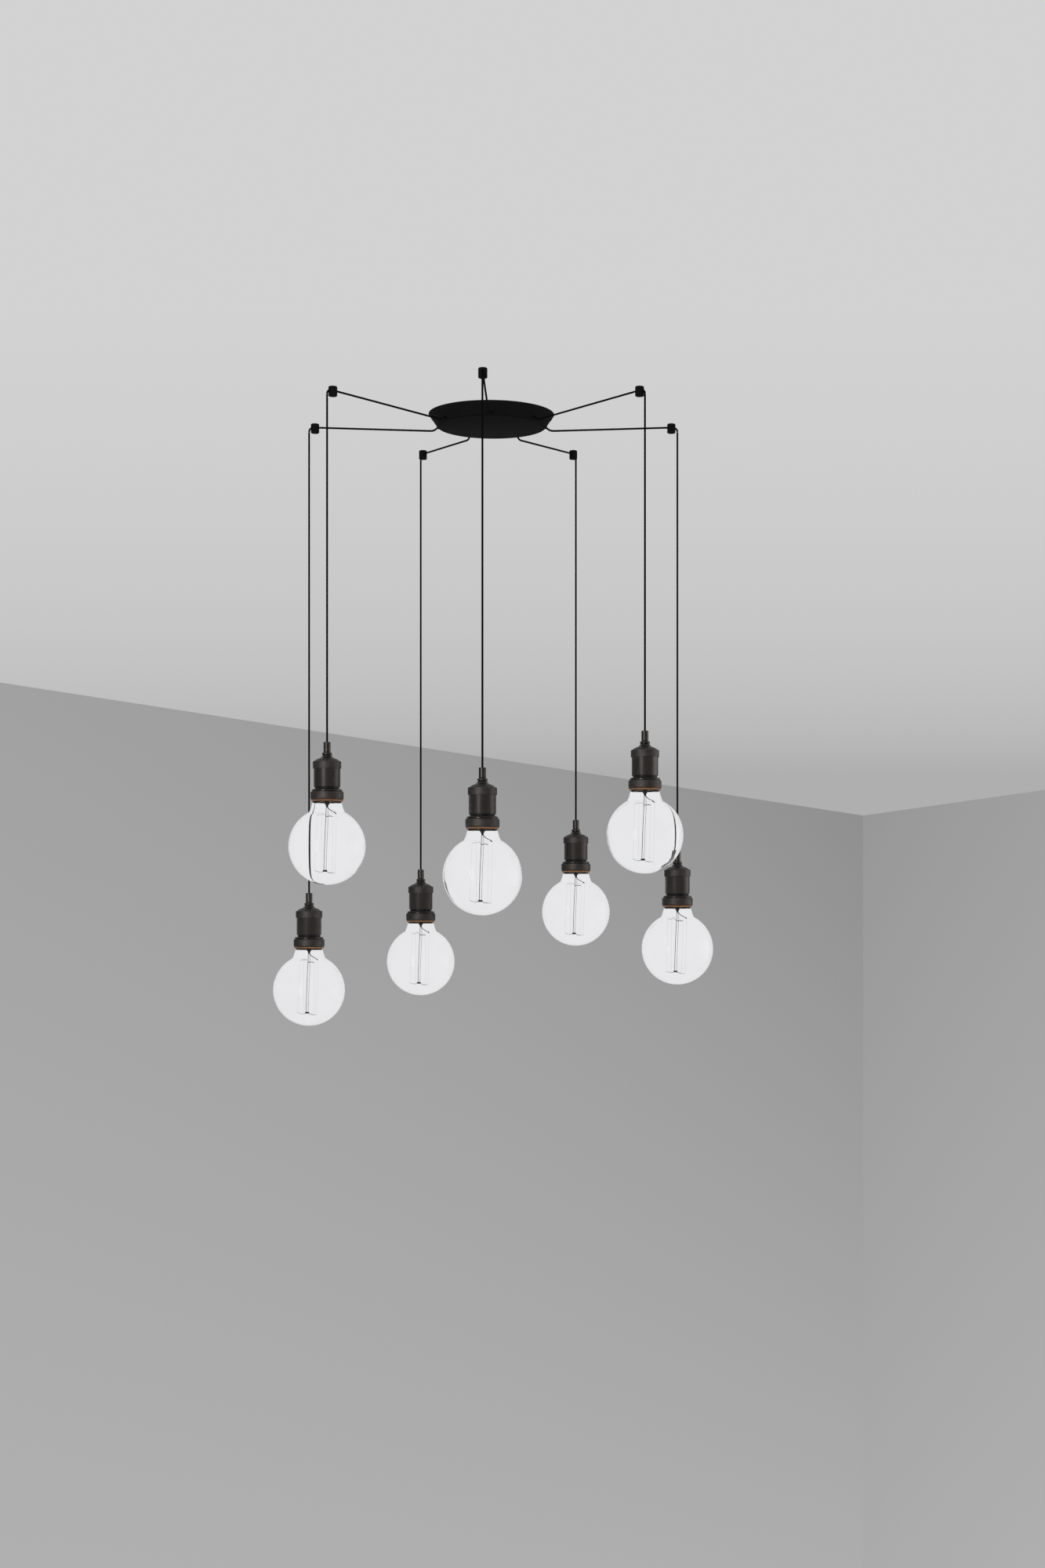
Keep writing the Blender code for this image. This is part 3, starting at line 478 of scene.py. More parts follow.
def spun_shape(profile_mm, segments, closed=False):
    """A turned shape from a profile of radius and depth, both in millimetres."""
    shape = bmesh.new()
    corners = [shape.verts.new((radius * MM, 0.0, -depth * MM)) for radius, depth in profile_mm]
    pairs = list(zip(corners, corners[1:]))
    if closed:
        pairs.append((corners[-1], corners[0]))
    line = [shape.edges.new(pair) for pair in pairs]
    centre, axis = (0.0, 0.0, 0.0), (0.0, 0.0, 1.0)
    bmesh.ops.spin(
        shape, geom=corners + line, cent=centre, axis=axis, dvec=centre,
        angle=FULL_TURN, steps=segments, use_merge=True, use_duplicate=False,
    )
    merge_doubles(shape)
    bmesh.ops.recalc_face_normals(shape, faces=shape.faces)
    return shape


def soften(shape, width_mm, segments=2):
    """Round the true edges of a shape."""
    folds = [edge for edge in shape.edges if len(edge.link_faces) == 2]
    sharp = [edge for edge in folds if edge.calc_face_angle() > BEVEL_ANGLE]
    bmesh.ops.bevel(
        shape, geom=sharp, offset=width_mm * MM, offset_type="OFFSET", segments=segments,
        profile=0.5, affect="EDGES", clamp_overlap=True, material=-1,
    )


def spun_mesh(name, profile_mm, segments, closed=False):
    """A finished turned mesh."""
    return mesh_from(spun_shape(profile_mm, segments, closed), name)


def rod_shape(radius_mm, start_mm, end_mm, segments):
    """A round rod between two points in millimetres."""
    start = Vector(start_mm) * MM
    end = Vector(end_mm) * MM
    shape = bmesh.new()
    turn = (end - start).to_track_quat("Z", "Y").to_matrix().to_4x4()
    bmesh.ops.create_cone(
        shape, cap_ends=True, segments=segments, radius1=radius_mm * MM, radius2=radius_mm * MM,
        depth=(end - start).length, matrix=Matrix.Translation((start + end) / 2.0) @ turn,
    )
    return shape


def block_shape(low, high):
    """A block between two corners in metres."""
    shape = bmesh.new()
    size = Vector(high) - Vector(low)
    place = Matrix.Translation((Vector(high) + Vector(low)) / 2.0) @ Matrix.Diagonal((*size, 1.0))
    bmesh.ops.create_cube(shape, size=1.0, matrix=place)
    return shape


def joined(name, shapes):
    """One mesh from several shapes."""
    whole = bmesh.new()
    for shape in shapes:
        part = bpy.data.meshes.new(name)
        shape.to_mesh(part)
        shape.free()
        whole.from_mesh(part)
        bpy.data.meshes.remove(part)
    return mesh_from(whole, name)


def put(shape, place):
    """The shape, moved to its place."""
    bmesh.ops.transform(shape, matrix=place, verts=shape.verts)
    return shape


def placed(name, data):
    """A new object in the scene."""
    item = bpy.data.objects.new(name, data)
    bpy.context.scene.collection.objects.link(item)
    return item


def evaluated_mesh(item):
    """The mesh of an object with its modifiers or its curve worked out."""
    bpy.context.view_layer.update()
    return bpy.data.meshes.new_from_object(item.evaluated_get(bpy.context.evaluated_depsgraph_get()))


def cut_mesh(name, mesh, tool):
    """The mesh with the tool's volume taken out."""
    body = placed(name, mesh)
    helper = placed(f"{name}_tool", tool)
    cut = body.modifiers.new("cut", "BOOLEAN")
    cut.operation = "DIFFERENCE"
    cut.solver = "EXACT"
    cut.object = helper
    result = evaluated_mesh(body)
    for item in (body, helper):
        bpy.data.objects.remove(item)
    result.name = name
    result.shade_smooth()
    result.set_sharp_from_angle(angle=SMOOTH_ANGLE)
    return result


def smooth_route(points):
    """More points on a smooth curve through the given ones."""
    places = [Vector(point) for point in points]
    places = [places[0] * 2.0 - places[1]] + places + [places[-1] * 2.0 - places[-2]]
    result = []
    for before, start, end, after in zip(places, places[1:], places[2:], places[3:]):
        span = (end - start).length
        leave = (end - before) * (span / (span + (start - before).length) / 3.0)
        arrive = (after - start) * (span / (span + (after - end).length) / 3.0)
        result += interpolate_bezier(start, start + leave, end - arrive, end, ROUTE_STEPS + 1)[:-1]
    return [*result, places[-2]]


def tube_shape(points, radius, roundness, neck=1.0):
    """A round tube with filled ends along points in metres. Its first point may be drawn in to a neck."""
    curve = bpy.data.curves.new("tube", "CURVE")
    curve.dimensions = "3D"
    curve.bevel_depth = radius
    curve.bevel_resolution = roundness
    curve.use_fill_caps = True
    spline = curve.splines.new("POLY")
    spline.points.add(len(points) - 1)
    for spline_point, point in zip(spline.points, points):
        spline_point.co = (*point, 1.0)
    spline.points[0].radius = neck
    holder = placed("tube", curve)
    mesh = evaluated_mesh(holder)
    bpy.data.objects.remove(holder)
    bpy.data.curves.remove(curve)
    shape = bmesh.new()
    shape.from_mesh(mesh)
    bpy.data.meshes.remove(mesh)
    return shape


def wires_mesh(name, wires):
    """One mesh of round wires, each given as its points in millimetres and its radius."""
    shapes = []
    for points_mm, radius_mm in wires:
        points = smooth_route([Vector(point) * MM for point in points_mm])
        shapes.append(tube_shape(points, radius_mm * MM, WIRE_ROUNDNESS))
    return joined(name, shapes)


def wall_points(shape, low_mm, high_mm, inner_mm, outer_mm):
    """The points of a shape between two depths and two radii, each with its radius, depth and angle."""
    for vertex in shape.verts:
        reach = math.hypot(vertex.co.x, vertex.co.y)
        below = -vertex.co.z / MM
        if low_mm < below < high_mm and inner_mm * MM < reach < outer_mm * MM:
            yield vertex, reach, below, math.atan2(vertex.co.y, vertex.co.x)


def add_piece(name, mesh, body, material, node, replaces=False):
    """A finished piece that rides on a body of the frame. It hides the frame's node that it stands for, if
    it replaces one.
    """
    piece = placed(name, mesh)
    mesh.materials.clear()
    mesh.materials.append(material)
    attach(piece, body)
    if replaces:
        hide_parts(node)
    return piece


def add_copy(name, mesh, place, *details):
    """A copy of a mesh, with its place in its vertices, as a finished piece."""
    copy = mesh.copy()
    copy.name = name
    copy.transform(place)
    add_piece(name, copy, *details)


def add_lamp_pieces(name, mesh, material, body, node, replaces=False):
    """The same lamp piece on every pendant, placed from the top of its lampholder."""
    for number in NUMBERS:
        place = Matrix.Translation(LAMP_TOPS[number])
        details = (f"{body}_{number}", material, f"{node}_{number}", replaces)
        add_copy(f"{name}_{number}", mesh, place, *details)
    bpy.data.meshes.remove(mesh)


def add_second_finish(name, material, is_there):
    """Give another finish to the faces of each pendant's piece that a test of depth and radius picks."""
    for number in NUMBERS:
        mesh = bpy.data.objects[f"{name}_{number}"].data
        mesh.materials.append(material)
        lamp_top = LAMP_TOPS[number]
        for face in mesh.polygons:
            offset = face.center - lamp_top
            if is_there(-offset.z / MM, offset.xy.length / MM):
                face.material_index = 1


# Stage: corners of the room as the photograph's walls run, in metres, and each lamp's place, size and share
CEILING_LIFT = 0.0004
CEILING_CORNERS = ((-2.9, -3.9), (3.4, -3.9), (2.95, 8.6), (2.07, 12.1), (-1.95, 3.45))
LEFT_WALL = ((-1.95, 3.45), (2.07, 12.1))
RIGHT_WALL = ((2.07, 12.1), (2.95, 8.6))
FLOOR_REACH = 14.0
LAMPS = (
    ("key_lamp", (-1.40, -2.75, -0.45), (0.7, 2.6), 1.25),
    ("side_lamp", (2.95, 0.25, -0.45), (2.6, 2.6), 1.05),
)
LAMP_AIM = Vector((0.0, 0.0, -0.55))


class CHANDELIER_OT_stage(Operator):
    """Camera, room and soft studio light"""

    bl_idname = "chandelier.stage"
    bl_label = "Stage"

    def execute(self, context):
        settings = context.scene.chandelier_stage
        self.add_camera(context, settings)
        self.add_room(settings)
        self.add_light(context, settings)
        context.scene.view_settings.view_transform = "Standard"
        return {"FINISHED"}

    def add_camera(self, context, settings):
        """A level camera, its frame shifted to the photograph's."""
        data = bpy.data.cameras.new("camera")
        data.sensor_fit = "AUTO"
        data.lens = settings.lens
        data.shift_x = settings.shift_right
        data.shift_y = settings.shift_up
        camera = placed("camera", data)
        camera.location = settings.camera_place
        camera.rotation_euler = (math.radians(90.0), 0.0, 0.0)
        context.scene.camera = camera

    def add_room(self, settings):
        """Ceiling, two walls and the floor, as planes."""
        # Each flat's grey, and its run from dark to light, is painted shade of the room's light
        ceiling = room_paint("ceiling_paint", "#afafaf", "#d2d2d2", (0.0, -0.117, 0.0), 0.93)
        left = room_paint("left_wall_paint", "#8f8f8f", "#b4b4b4", (-0.115, 0.0, -0.149), 0.241)
        right = room_paint("right_wall_paint", "#8f8f8f", "#b4b4b4", (0.29, 0.0, -0.10), -0.41)
        floor = room_paint("floor_paint", "#c4c4c4", "#d6d6d6", (0.0, 0.0, 0.0), 0.5)
        floor_height = -settings.floor_depth
        corners = [(x, y, CEILING_LIFT) for x, y in CEILING_CORNERS]
        self.add_plane("ceiling_plane", corners[::-1], ceiling)
        for name, ends, paint in (("left_wall", LEFT_WALL, left), ("right_wall", RIGHT_WALL, right)):
            top = [(x, y, CEILING_LIFT) for x, y in ends]
            low = [(x, y, floor_height) for x, y in ends[::-1]]
            self.add_plane(name, (top + low)[::-1], paint)
        reach = FLOOR_REACH
        corners = [(-reach, -reach), (reach, -reach), (reach, reach), (-reach, reach)]
        self.add_plane("floor", [(x, y, floor_height) for x, y in corners], floor)

    def add_plane(self, name, corners, paint):
        """One flat face of the room."""
        shape = bmesh.new()
        shape.faces.new([shape.verts.new(corner) for corner in corners])
        mesh = bpy.data.meshes.new(name)
        shape.to_mesh(mesh)
        shape.free()
        mesh.materials.append(paint)
        placed(name, mesh)

    def add_light(self, context, settings):
        """Even light from all round and two soft lamps, with a plain backdrop behind."""
        world = bpy.data.worlds.new("soft_room")
        world.use_nodes = True
        tree = world.node_tree
        even = tree.nodes["Background"]
        link_inputs(tree, even, {"Color": srgb("#ffffff"), "Strength": settings.light_level})
        path = add_node(tree, "ShaderNodeLightPath").outputs
        ends = {"Factor": path["Is Transmission Ray"], 6: srgb("#cfcfcf"), 7: srgb(SWEEP)}
        tone = add_node(tree, "ShaderNodeMix", ends, data_type="RGBA")
        backdrop = add_node(tree, "ShaderNodeBackground", {"Color": tone, "Strength": 1.0})
        rays = {0: path["Is Camera Ray"], 1: path["Is Transmission Ray"]}
        seen = add_node(tree, "ShaderNodeMath", rays, operation="MAXIMUM")
        mixed = add_node(tree, "ShaderNodeMixShader", {0: seen, 1: even, 2: backdrop})
        link_inputs(tree, tree.nodes["World Output"], {"Surface": mixed})
        context.scene.world = world
        for name, place, size, share in LAMPS:
            data = bpy.data.lights.new(name, "AREA")
            data.shape = "RECTANGLE"
            data.size, data.size_y = size
            data.energy = settings.lamp_power * share
            lamp = placed(name, data)
            lamp.location = place
            lamp.visible_camera = False
            lamp.visible_transmission = False
            lamp.rotation_euler = (LAMP_AIM - Vector(place)).to_track_quat("-Z", "Y").to_euler()


# Cord grommets in the canopy's wall, as a profile of radius and height outward of the wall
GROMMET_PROFILE_MM = (
    (1.62, -1.9), (2.35, -1.9), (2.35, -0.15), (3.1, 0.0), (3.1, 0.55), (2.7, 0.9), (1.62, 0.9),
)
GROMMET_SIDES = 28
# Holes in the wall: depth below the ceiling, radius and sides, and how far their tools reach in and out
HOLE_REACH_MM = ((0.0, 0.0, -4.0), (0.0, 0.0, 3.0))
CORD_HOLE_DEPTH_MM = 16.2
CORD_HOLE_RADIUS_MM = 2.4
CORD_HOLE_SIDES = 24
SCREW_DEPTH_MM = 8.0
SCREW_HOLE_RADIUS_MM = 1.6
SCREW_HOLE_SIDES = 20
# The face's disc stands a little below the wall's foot, with a seam round it painted dark as shade of the
# gap: inset and height
FACE_SEAM_MM = (
    (4.1, 0.0), (3.7, 0.15), (3.5, 0.5), (3.4, 0.9), (0.9, 0.9), (0.8, 0.6), (0.5, 0.45), (0.0, 0.5),
)
SEAM_SHADE_RADII_MM = (82.45, 85.15)
SEAM_FOOT_MM = 0.5
SHEET_SLACK_MM = 0.1
CANOPY_SIDES = 192


def wall_slope():
    """How far the canopy's wall leans in for each length down it."""
    settings = bpy.context.scene.chandelier_canopy
    return (settings.rim_radius - settings.face_radius) / settings.depth


def wall_place(depth_mm, turn):
    """Puts a shape on the canopy's wall, its +Z outward and square to the wall."""
    slope = wall_slope()
    tilt = Matrix.Rotation(math.radians(90.0) + math.atan(slope), 4, "Y")
    reach = bpy.context.scene.chandelier_canopy.rim_radius - slope * depth_mm * MM
    return turn @ Matrix.Translation((reach, 0.0, -depth_mm * MM)) @ tilt


class CHANDELIER_OT_canopy(Operator):
    """The shallow pan with its holes and grommets"""

    bl_idname = "chandelier.canopy"
    bl_label = "Canopy"

    def execute(self, context):
        settings = context.scene.chandelier_canopy
        rim, face = settings.rim_radius / MM, settings.face_radius / MM
        depth, wall = settings.depth / MM, settings.wall / MM
        slope = wall_slope()
        inner_rim = rim - wall * math.hypot(1.0, slope)
        inner_depth = depth - wall
        seam = [(face - inset, depth - height) for inset, height in FACE_SEAM_MM]
        foot = depth - FACE_SEAM_MM[-1][1] - SEAM_FOOT_MM
        profile = (
            (0.0, depth),
            *seam,
            (rim - slope * foot, foot),
            (rim, 0.0),
            (inner_rim, 0.0),
            (inner_rim - slope * inner_depth, inner_depth),
            (0.0, inner_depth),
        )
        cord_places = [wall_place(CORD_HOLE_DEPTH_MM, radial(number)) for number in NUMBERS]
        holes = []
        for place in cord_places:
            hole = rod_shape(CORD_HOLE_RADIUS_MM, *HOLE_REACH_MM, CORD_HOLE_SIDES)
            holes.append(put(hole, place))
        for side in (0.0, math.pi):
            hole = rod_shape(SCREW_HOLE_RADIUS_MM, *HOLE_REACH_MM, SCREW_HOLE_SIDES)
            holes.append(put(hole, wall_place(SCREW_DEPTH_MM, Matrix.Rotation(side, 4, "Z"))))
        pan = spun_mesh("canopy_pan", profile, CANOPY_SIDES)
        pan = cut_mesh("canopy_pan", pan, joined("canopy_holes", holes))
        add_piece("canopy_pan", pan, "canopy", finish(black_powder_coat), "canopy_shell", True)
        # The seam's faces take the darker nylon finish as painted shade of the gap round the face
        pan.materials.append(finish(black_nylon))
        near, far = SEAM_SHADE_RADII_MM
        below = -(inner_depth + SHEET_SLACK_MM) * MM
        for polygon in pan.polygons:
            if near < polygon.center.xy.length / MM < far and polygon.center.z < below:
                polygon.material_index = 1
        ring = [(radius, -height) for radius, height in GROMMET_PROFILE_MM]
        rings = [put(spun_shape(ring, GROMMET_SIDES, closed=True), place) for place in cord_places]
        grommets = joined("cord_grommets", rings)
        add_piece("cord_grommets", grommets, "canopy", finish(black_nylon), "canopy_shell")
        return {"FINISHED"}


# Screws, as profiles of radius and depth below the head's seat
PAN_HEAD_MM = (
    (0.0, 2.2), (1.6, 2.1), (2.9, 1.6), (3.7, 0.6), (3.7, 0.0), (1.8, 0.0), (1.8, -1.9), (0.0, -1.9),
)
EARTH_SCREW_MM = (
    (0.0, 1.2), (1.4, 1.15), (2.3, 0.8), (2.6, 0.2), (2.6, 0.0), (1.35, 0.0), (1.35, -1.8), (0.0, -1.8),
)
SIDE_SCREW_MM = (
    (0.0, 1.2), (1.5, 1.1), (2.3, 0.7), (2.6, 0.1), (2.6, 0.0), (1.35, 0.0), (1.35, -6.4), (0.0, -6.4),
)
TERMINAL_SCREW_MM = ((0.0, 0.35), (1.5, 0.35), (1.8, 0.1), (1.8, -0.1), (0.0, -0.1))
SCREW_SIDES = 32
SMALL_SCREW_SIDES = 28
TERMINAL_SCREW_SIDES = 20
TERMINAL_POLES = 3
TERMINAL_SCREW_Y_MM = (-4.5, 4.5)
BLOCK_EDGE_MM = 0.5
FLAT_ANGLE = math.radians(1.0)
BRACKET_DEPTH_MM = 2.0
CEILING_SCREWS_X_MM = (-62.0, 62.0)
EARTH_SCREW_X_MM = -38.0
SLOT_HALF_WIDTH_MM = 0.35
SLOT_REACH_MM = 5.0
SCREW_SEAT_MM = 0.3


def slotted_head(name, profile_mm, sides, slot_depth_mm):
    """A turned screw with a driver slot across its head."""
    head = max(depth for radius, depth in profile_mm)
    low = Vector((-SLOT_REACH_MM, -SLOT_HALF_WIDTH_MM, -head - 1.0)) * MM
    high = Vector((SLOT_REACH_MM, SLOT_HALF_WIDTH_MM, -head + slot_depth_mm)) * MM
    slot = mesh_from(block_shape(low, high), f"{name}_slot")
    return cut_mesh(name, spun_mesh(name, profile_mm, sides), slot)


def add_bracket_screw(name, mesh, along_mm, material):
    """A screw seated in the bracket at a place along it."""
    place = Matrix.Translation(Vector((along_mm, 0.0, -BRACKET_DEPTH_MM)) * MM)
    add_copy(name, mesh, place, "canopy", material, "ceiling_bracket")


class CHANDELIER_OT_fittings(Operator):
    """Bracket, terminal block and screws inside the canopy"""

    bl_idname = "chandelier.fittings"
    bl_label = "Fittings in the canopy"

    def execute(self, context):
        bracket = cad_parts["ceiling_bracket"].data
        bracket.materials.clear()
        bracket.materials.append(finish(zinc_plate))
        self.add_block()
        pan_head = slotted_head("ceiling_screw", PAN_HEAD_MM, SCREW_SIDES, 0.9)
        for index, along in enumerate(CEILING_SCREWS_X_MM):
            add_bracket_screw(f"ceiling_screw_{index + 1}", pan_head, along, finish(zinc_plate))
        earth = slotted_head("earth_screw", EARTH_SCREW_MM, SMALL_SCREW_SIDES, 0.5)
        add_bracket_screw("earth_screw", earth, EARTH_SCREW_X_MM, finish(brass))
        side = slotted_head("side_screw", SIDE_SCREW_MM, SCREW_SIDES, 0.5)
        out = Matrix.Rotation(math.pi, 4, "X")
        seat = Matrix.Translation((0.0, 0.0, SCREW_SEAT_MM * MM))
        place = wall_place(SCREW_DEPTH_MM, Matrix.Identity(4)) @ seat @ out
        coat = finish(black_powder_coat)
        add_copy("canopy_side_screw", side, place, "canopy", coat, "canopy_screw", True)
        return {"FINISHED"}

    def add_block(self):
        """The terminal block with softened edges, and its six screws."""
        block = bmesh.new()
        block.from_mesh(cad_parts["terminal_block"].data)
        merge_doubles(block)
        bmesh.ops.dissolve_limit(block, angle_limit=FLAT_ANGLE, verts=block.verts, edges=block.edges)
        soften(block, BLOCK_EDGE_MM)
        mesh = mesh_from(block, "terminal_body")
        add_piece("terminal_body", mesh, "canopy", finish(white_nylon), "terminal_block", True)
        screws = []
        for pole in range(TERMINAL_POLES):
            along = BLOCK_LOW.x + (BLOCK_HIGH.x - BLOCK_LOW.x) * (pole + 0.5) / TERMINAL_POLES
            for across in TERMINAL_SCREW_Y_MM:
                head = spun_shape(TERMINAL_SCREW_MM, TERMINAL_SCREW_SIDES)
                screws.append(put(head, Matrix.Translation((along, across * MM, BLOCK_LOW.z))))
        heads = joined("terminal_screws", screws)
        add_piece("terminal_screws", heads, "canopy", finish(brass), "terminal_block")


# Ceiling hooks: the channel's top and bottom, its room round the cord, its reach and its edge, the split
# line's depth, half width and cut, the rounding, the screw's hole and the screw
HOOK_CHANNEL_MM = (4.4, 8.8)
HOOK_CHANNEL_ROOM_MM = 0.3
HOOK_CHANNEL_REACH_MM = 10.0
HOOK_CHANNEL_EDGE_MM = 0.3
HOOK_SEAM_MM = 9.4
HOOK_SEAM_HALF_MM = 0.2
HOOK_SEAM_CUT_MM = 0.3
HOOK_EDGE_MM = 0.15
HOOK_HOLE_MM = 2.1
HOOK_SCREW_MM = ((0.0, 0.5), (1.2, 0.5), (1.95, 0.9), (1.95, 4.0), (0.0, 4.0))
HOOK_SIDES = 96


class CHANDELIER_OT_hooks(Operator):
    """The seven small ceiling hooks with their screws"""

    bl_idname = "chandelier.hooks"
    bl_label = "Ceiling hooks"

    def execute(self, context):
        settings = context.scene.chandelier_hook
        radius, height, edge = settings.radius / MM, settings.height / MM, settings.edge / MM
        profile = (
            (0.0, 0.0),
            (radius - edge, 0.0),
            (radius, edge),
            (radius, HOOK_SEAM_MM - HOOK_SEAM_HALF_MM),
            (radius - HOOK_SEAM_CUT_MM, HOOK_SEAM_MM),
            (radius, HOOK_SEAM_MM + HOOK_SEAM_HALF_MM),
            (radius, height - edge),
            (radius - edge, height),
            (0.0, height),
        )
        shape = spun_shape(profile, HOOK_SIDES)
        soften(shape, HOOK_EDGE_MM)
        body = mesh_from(shape, "hook_body")
        half_width = context.scene.chandelier_cord.radius + HOOK_CHANNEL_ROOM_MM * MM
        reach = HOOK_CHANNEL_REACH_MM * MM
        top, bottom = HOOK_CHANNEL_MM
        channel = block_shape((-reach, -half_width, -bottom * MM), (reach, half_width, -top * MM))
        soften(channel, HOOK_CHANNEL_EDGE_MM, 3)
        hole = rod_shape(HOOK_HOLE_MM, (0.0, 0.0, 2.0), (0.0, 0.0, -top - 0.3), SMALL_SCREW_SIDES)
        body = cut_mesh("hook_body", body, mesh_from(channel, "hook_channel"))
        body = cut_mesh("hook_body", body, mesh_from(hole, "hook_hole"))
        screw = slotted_head("hook_screw", HOOK_SCREW_MM, SMALL_SCREW_SIDES, 0.8)
        for number in NUMBERS:
            place = Matrix.Translation(HOOK_CENTRES[number]) @ radial(number)
            node = f"ceiling_hook_{number}"
            coat = finish(black_powder_coat)
            add_copy(f"hook_body_{number}", body, place, "canopy", coat, node, True)
            add_copy(f"hook_screw_{number}", screw, place, "canopy", finish(zinc_plate), node)
        return {"FINISHED"}


def block_points(number):
    """Where a cord leaves the terminal block, and the two points that set its bend."""
    side, order = (1.0, FAR_CORDS) if number in FAR_CORDS else (-1.0, NEAR_CORDS)
    along = BLOCK_LOW.x + (BLOCK_HIGH.x - BLOCK_LOW.x) * (order.index(number) + 1) / (len(order) + 1)
    face = BLOCK_HIGH.y + BLOCK_GAP_MM * MM
    bend = BLOCK_STRAIGHT_MM + BLOCK_BENDS_MM[number - 1]
    return [
        Vector((along, side * (face + reach * MM), -BLOCK_CORD_DEPTH_MM * MM))
        for reach in (0.0, BLOCK_STRAIGHT_MM, bend)
    ]


def feed_points(number):
    """The route of one feed cord, the same as in the frame: a bend inside the canopy, then the ceiling."""
    turn = radial(number)
    outside = [turn @ Vector((along * MM, 0.0, -depth * MM)) for along, depth in FEED_ROUTE_MM]
    square = turn @ Vector((1.0, 0.0, -wall_slope())).normalized()
    wall_bend = outside[0] - square * WALL_BENDS_MM[number - 1] * MM
    end, straight, bend = block_points(number)
    inside = interpolate_bezier(straight, bend, wall_bend, outside[0], INNER_STEPS + 1)
    return [end, *inside, *outside[1:]]


class CHANDELIER_OT_cords(Operator):
    """The feed cords along the ceiling and the cords that hang"""

    bl_idname = "chandelier.cords"
    bl_label = "Cords"

    def execute(self, context):
        radius = context.scene.chandelier_cord.radius
        sheath = finish(black_cord_sheath)
        for number in NUMBERS:
            route = smooth_route(feed_points(number))
            name = f"ceiling_cord_{number}"
            tube = mesh_from(tube_shape(route, radius, CORD_ROUNDNESS), name)
            cord = add_piece(name, tube, "canopy", sheath, f"feed_cord_{number}", True)
            self.hang_cord(number, radius, sheath)
        return {"FINISHED"}

    def hang_cord(self, number, radius, sheath):
        """The stretch below a hook, which gets shorter as its lamp is raised."""
        lamp_top = LAMP_TOPS[number]
        top = -DROP_TOP_MM * MM
        bottom = lamp_top.z - CORD_END_BELOW_LAMP_TOP_MM * MM
        length = top - bottom
        depths = [top, top - CORD_NECK_MM * MM]
        depths += [top - length * step / DROP_STEPS for step in range(1, DROP_STEPS + 1)]
        route = [Vector((lamp_top.x, lamp_top.y, depth)) for depth in depths]
        name = f"hanging_cord_{number}"
        tube = mesh_from(tube_shape(route, radius, CORD_ROUNDNESS, CORD_NECK_SHARE), name)
        cord = add_piece(name, tube, f"cord_{number}", sheath, f"drop_cord_{number}", True)
        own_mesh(cord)


# Lampholder profiles, radius and depth below its top
GRIP_MM = (
    (1.8, 0.0), (4.9, 0.0), (5.4, 0.5), (5.4, 14.6), (5.0, 15.1), (5.0, 15.7), (6.6, 15.9),
    (7.45, 16.6), (7.8, 17.9), (7.45, 19.2), (6.7, 20.0), (6.6, 20.4), (1.8, 20.4),
)
DOME_MM = (
    (5.6, 20.6), (7.3, 20.6), (7.9, 21.4), (8.7, 22.4), (9.7, 23.4), (11.3, 24.4), (13.1, 25.1),
    (14.4, 25.6), (15.9, 26.4), (17.4, 27.4), (18.8, 28.4), (20.1, 29.1), (20.9, 29.4), (21.2, 29.6),
    (21.4, 30.0),
)
BAND_MM = (30.0, 39.6)
BAND_RADIUS_MM = 21.4
SLEEVE_MM = (
    (21.2, 40.0), (20.2, 40.15), (20.0, 40.5), (20.0, 67.5), (19.7, 68.0), (18.9, 68.0), (18.75, 67.8),
    (18.75, 31.2), (17.2, 29.6), (14.6, 27.2), (12.0, 25.6), (5.6, 25.0),
)
GRIP_SIDES = 96
# The blasted finish lies outside on the dome and the band, between these depths and past this radius. The
# last two part the outside of the wall from its inside: a radius, and how fast it shrinks up the dome
BLASTED_DEPTHS_MM = (23.9, 40.05)
BLASTED_RADIUS_MM = 12.9
WALL_RADIUS_MM = 18.9
DOME_SLOPE = 1.2
# Knurls: rows of points in a band and in a diamond. The knurled points start a little below the band's top,
# and lie less than the other two margins past its last row and inside its radius
KNURL_ROWS = 16
ROWS_A_DIAMOND = 4
KNURL_MARGINS_MM = (0.3, 0.1, 0.2)


def knurled_shape(above_mm, band_mm, radius_mm, below_mm):
    """A closed turned shape with diamonds pressed into a band, between the profiles above and below it."""
    settings = bpy.context.scene.chandelier_holder
    top, bottom = band_mm
    rows = [(radius_mm, top + (bottom - top) * row / KNURL_ROWS) for row in range(1, KNURL_ROWS + 1)]
    shape = spun_shape((*above_mm, *rows, *below_mm), settings.segments, closed=True)
    columns = settings.segments // ROWS_A_DIAMOND
    diamond = (bottom - top) / KNURL_ROWS * ROWS_A_DIAMOND
    start, past, inside = KNURL_MARGINS_MM
    band = (top + start, bottom + past, radius_mm - inside, math.inf)
    for vertex, reach, below, angle in wall_points(shape, *band):
        relief = 0.5 - 0.5 * math.cos(columns * angle) * math.cos(FULL_TURN * below / diamond)
        vertex.co.xy *= 1.0 - settings.knurl_depth * relief / reach
    return shape


def is_blasted(below, reach):
    """Whether a face of the lampholder is outside on its dome or its band."""
    low, high = BLASTED_DEPTHS_MM
    wall = WALL_RADIUS_MM - max(0.0, BAND_MM[0] - below) * DOME_SLOPE
    return low < below < high and reach > max(BLASTED_RADIUS_MM, wall)


class CHANDELIER_OT_lampholders(Operator):
    """Cord grips and lampholder shells"""

    bl_idname = "chandelier.lampholders"
    bl_label = "Lampholders"

    def execute(self, context):
        brushed = finish(bronze_brushed_aluminium)
        grip = spun_mesh("cord_grip", GRIP_MM, GRIP_SIDES, closed=True)
        add_lamp_pieces("cord_grip", grip, brushed, "lamp", "socket_shell")
        shell = mesh_from(knurled_shape(DOME_MM, BAND_MM, BAND_RADIUS_MM, SLEEVE_MM), "holder_shell")
        add_lamp_pieces("holder_shell", shell, brushed, "lamp", "socket_shell", True)
        add_second_finish("holder_shell", finish(bronze_blasted_aluminium), is_blasted)
        return {"FINISHED"}


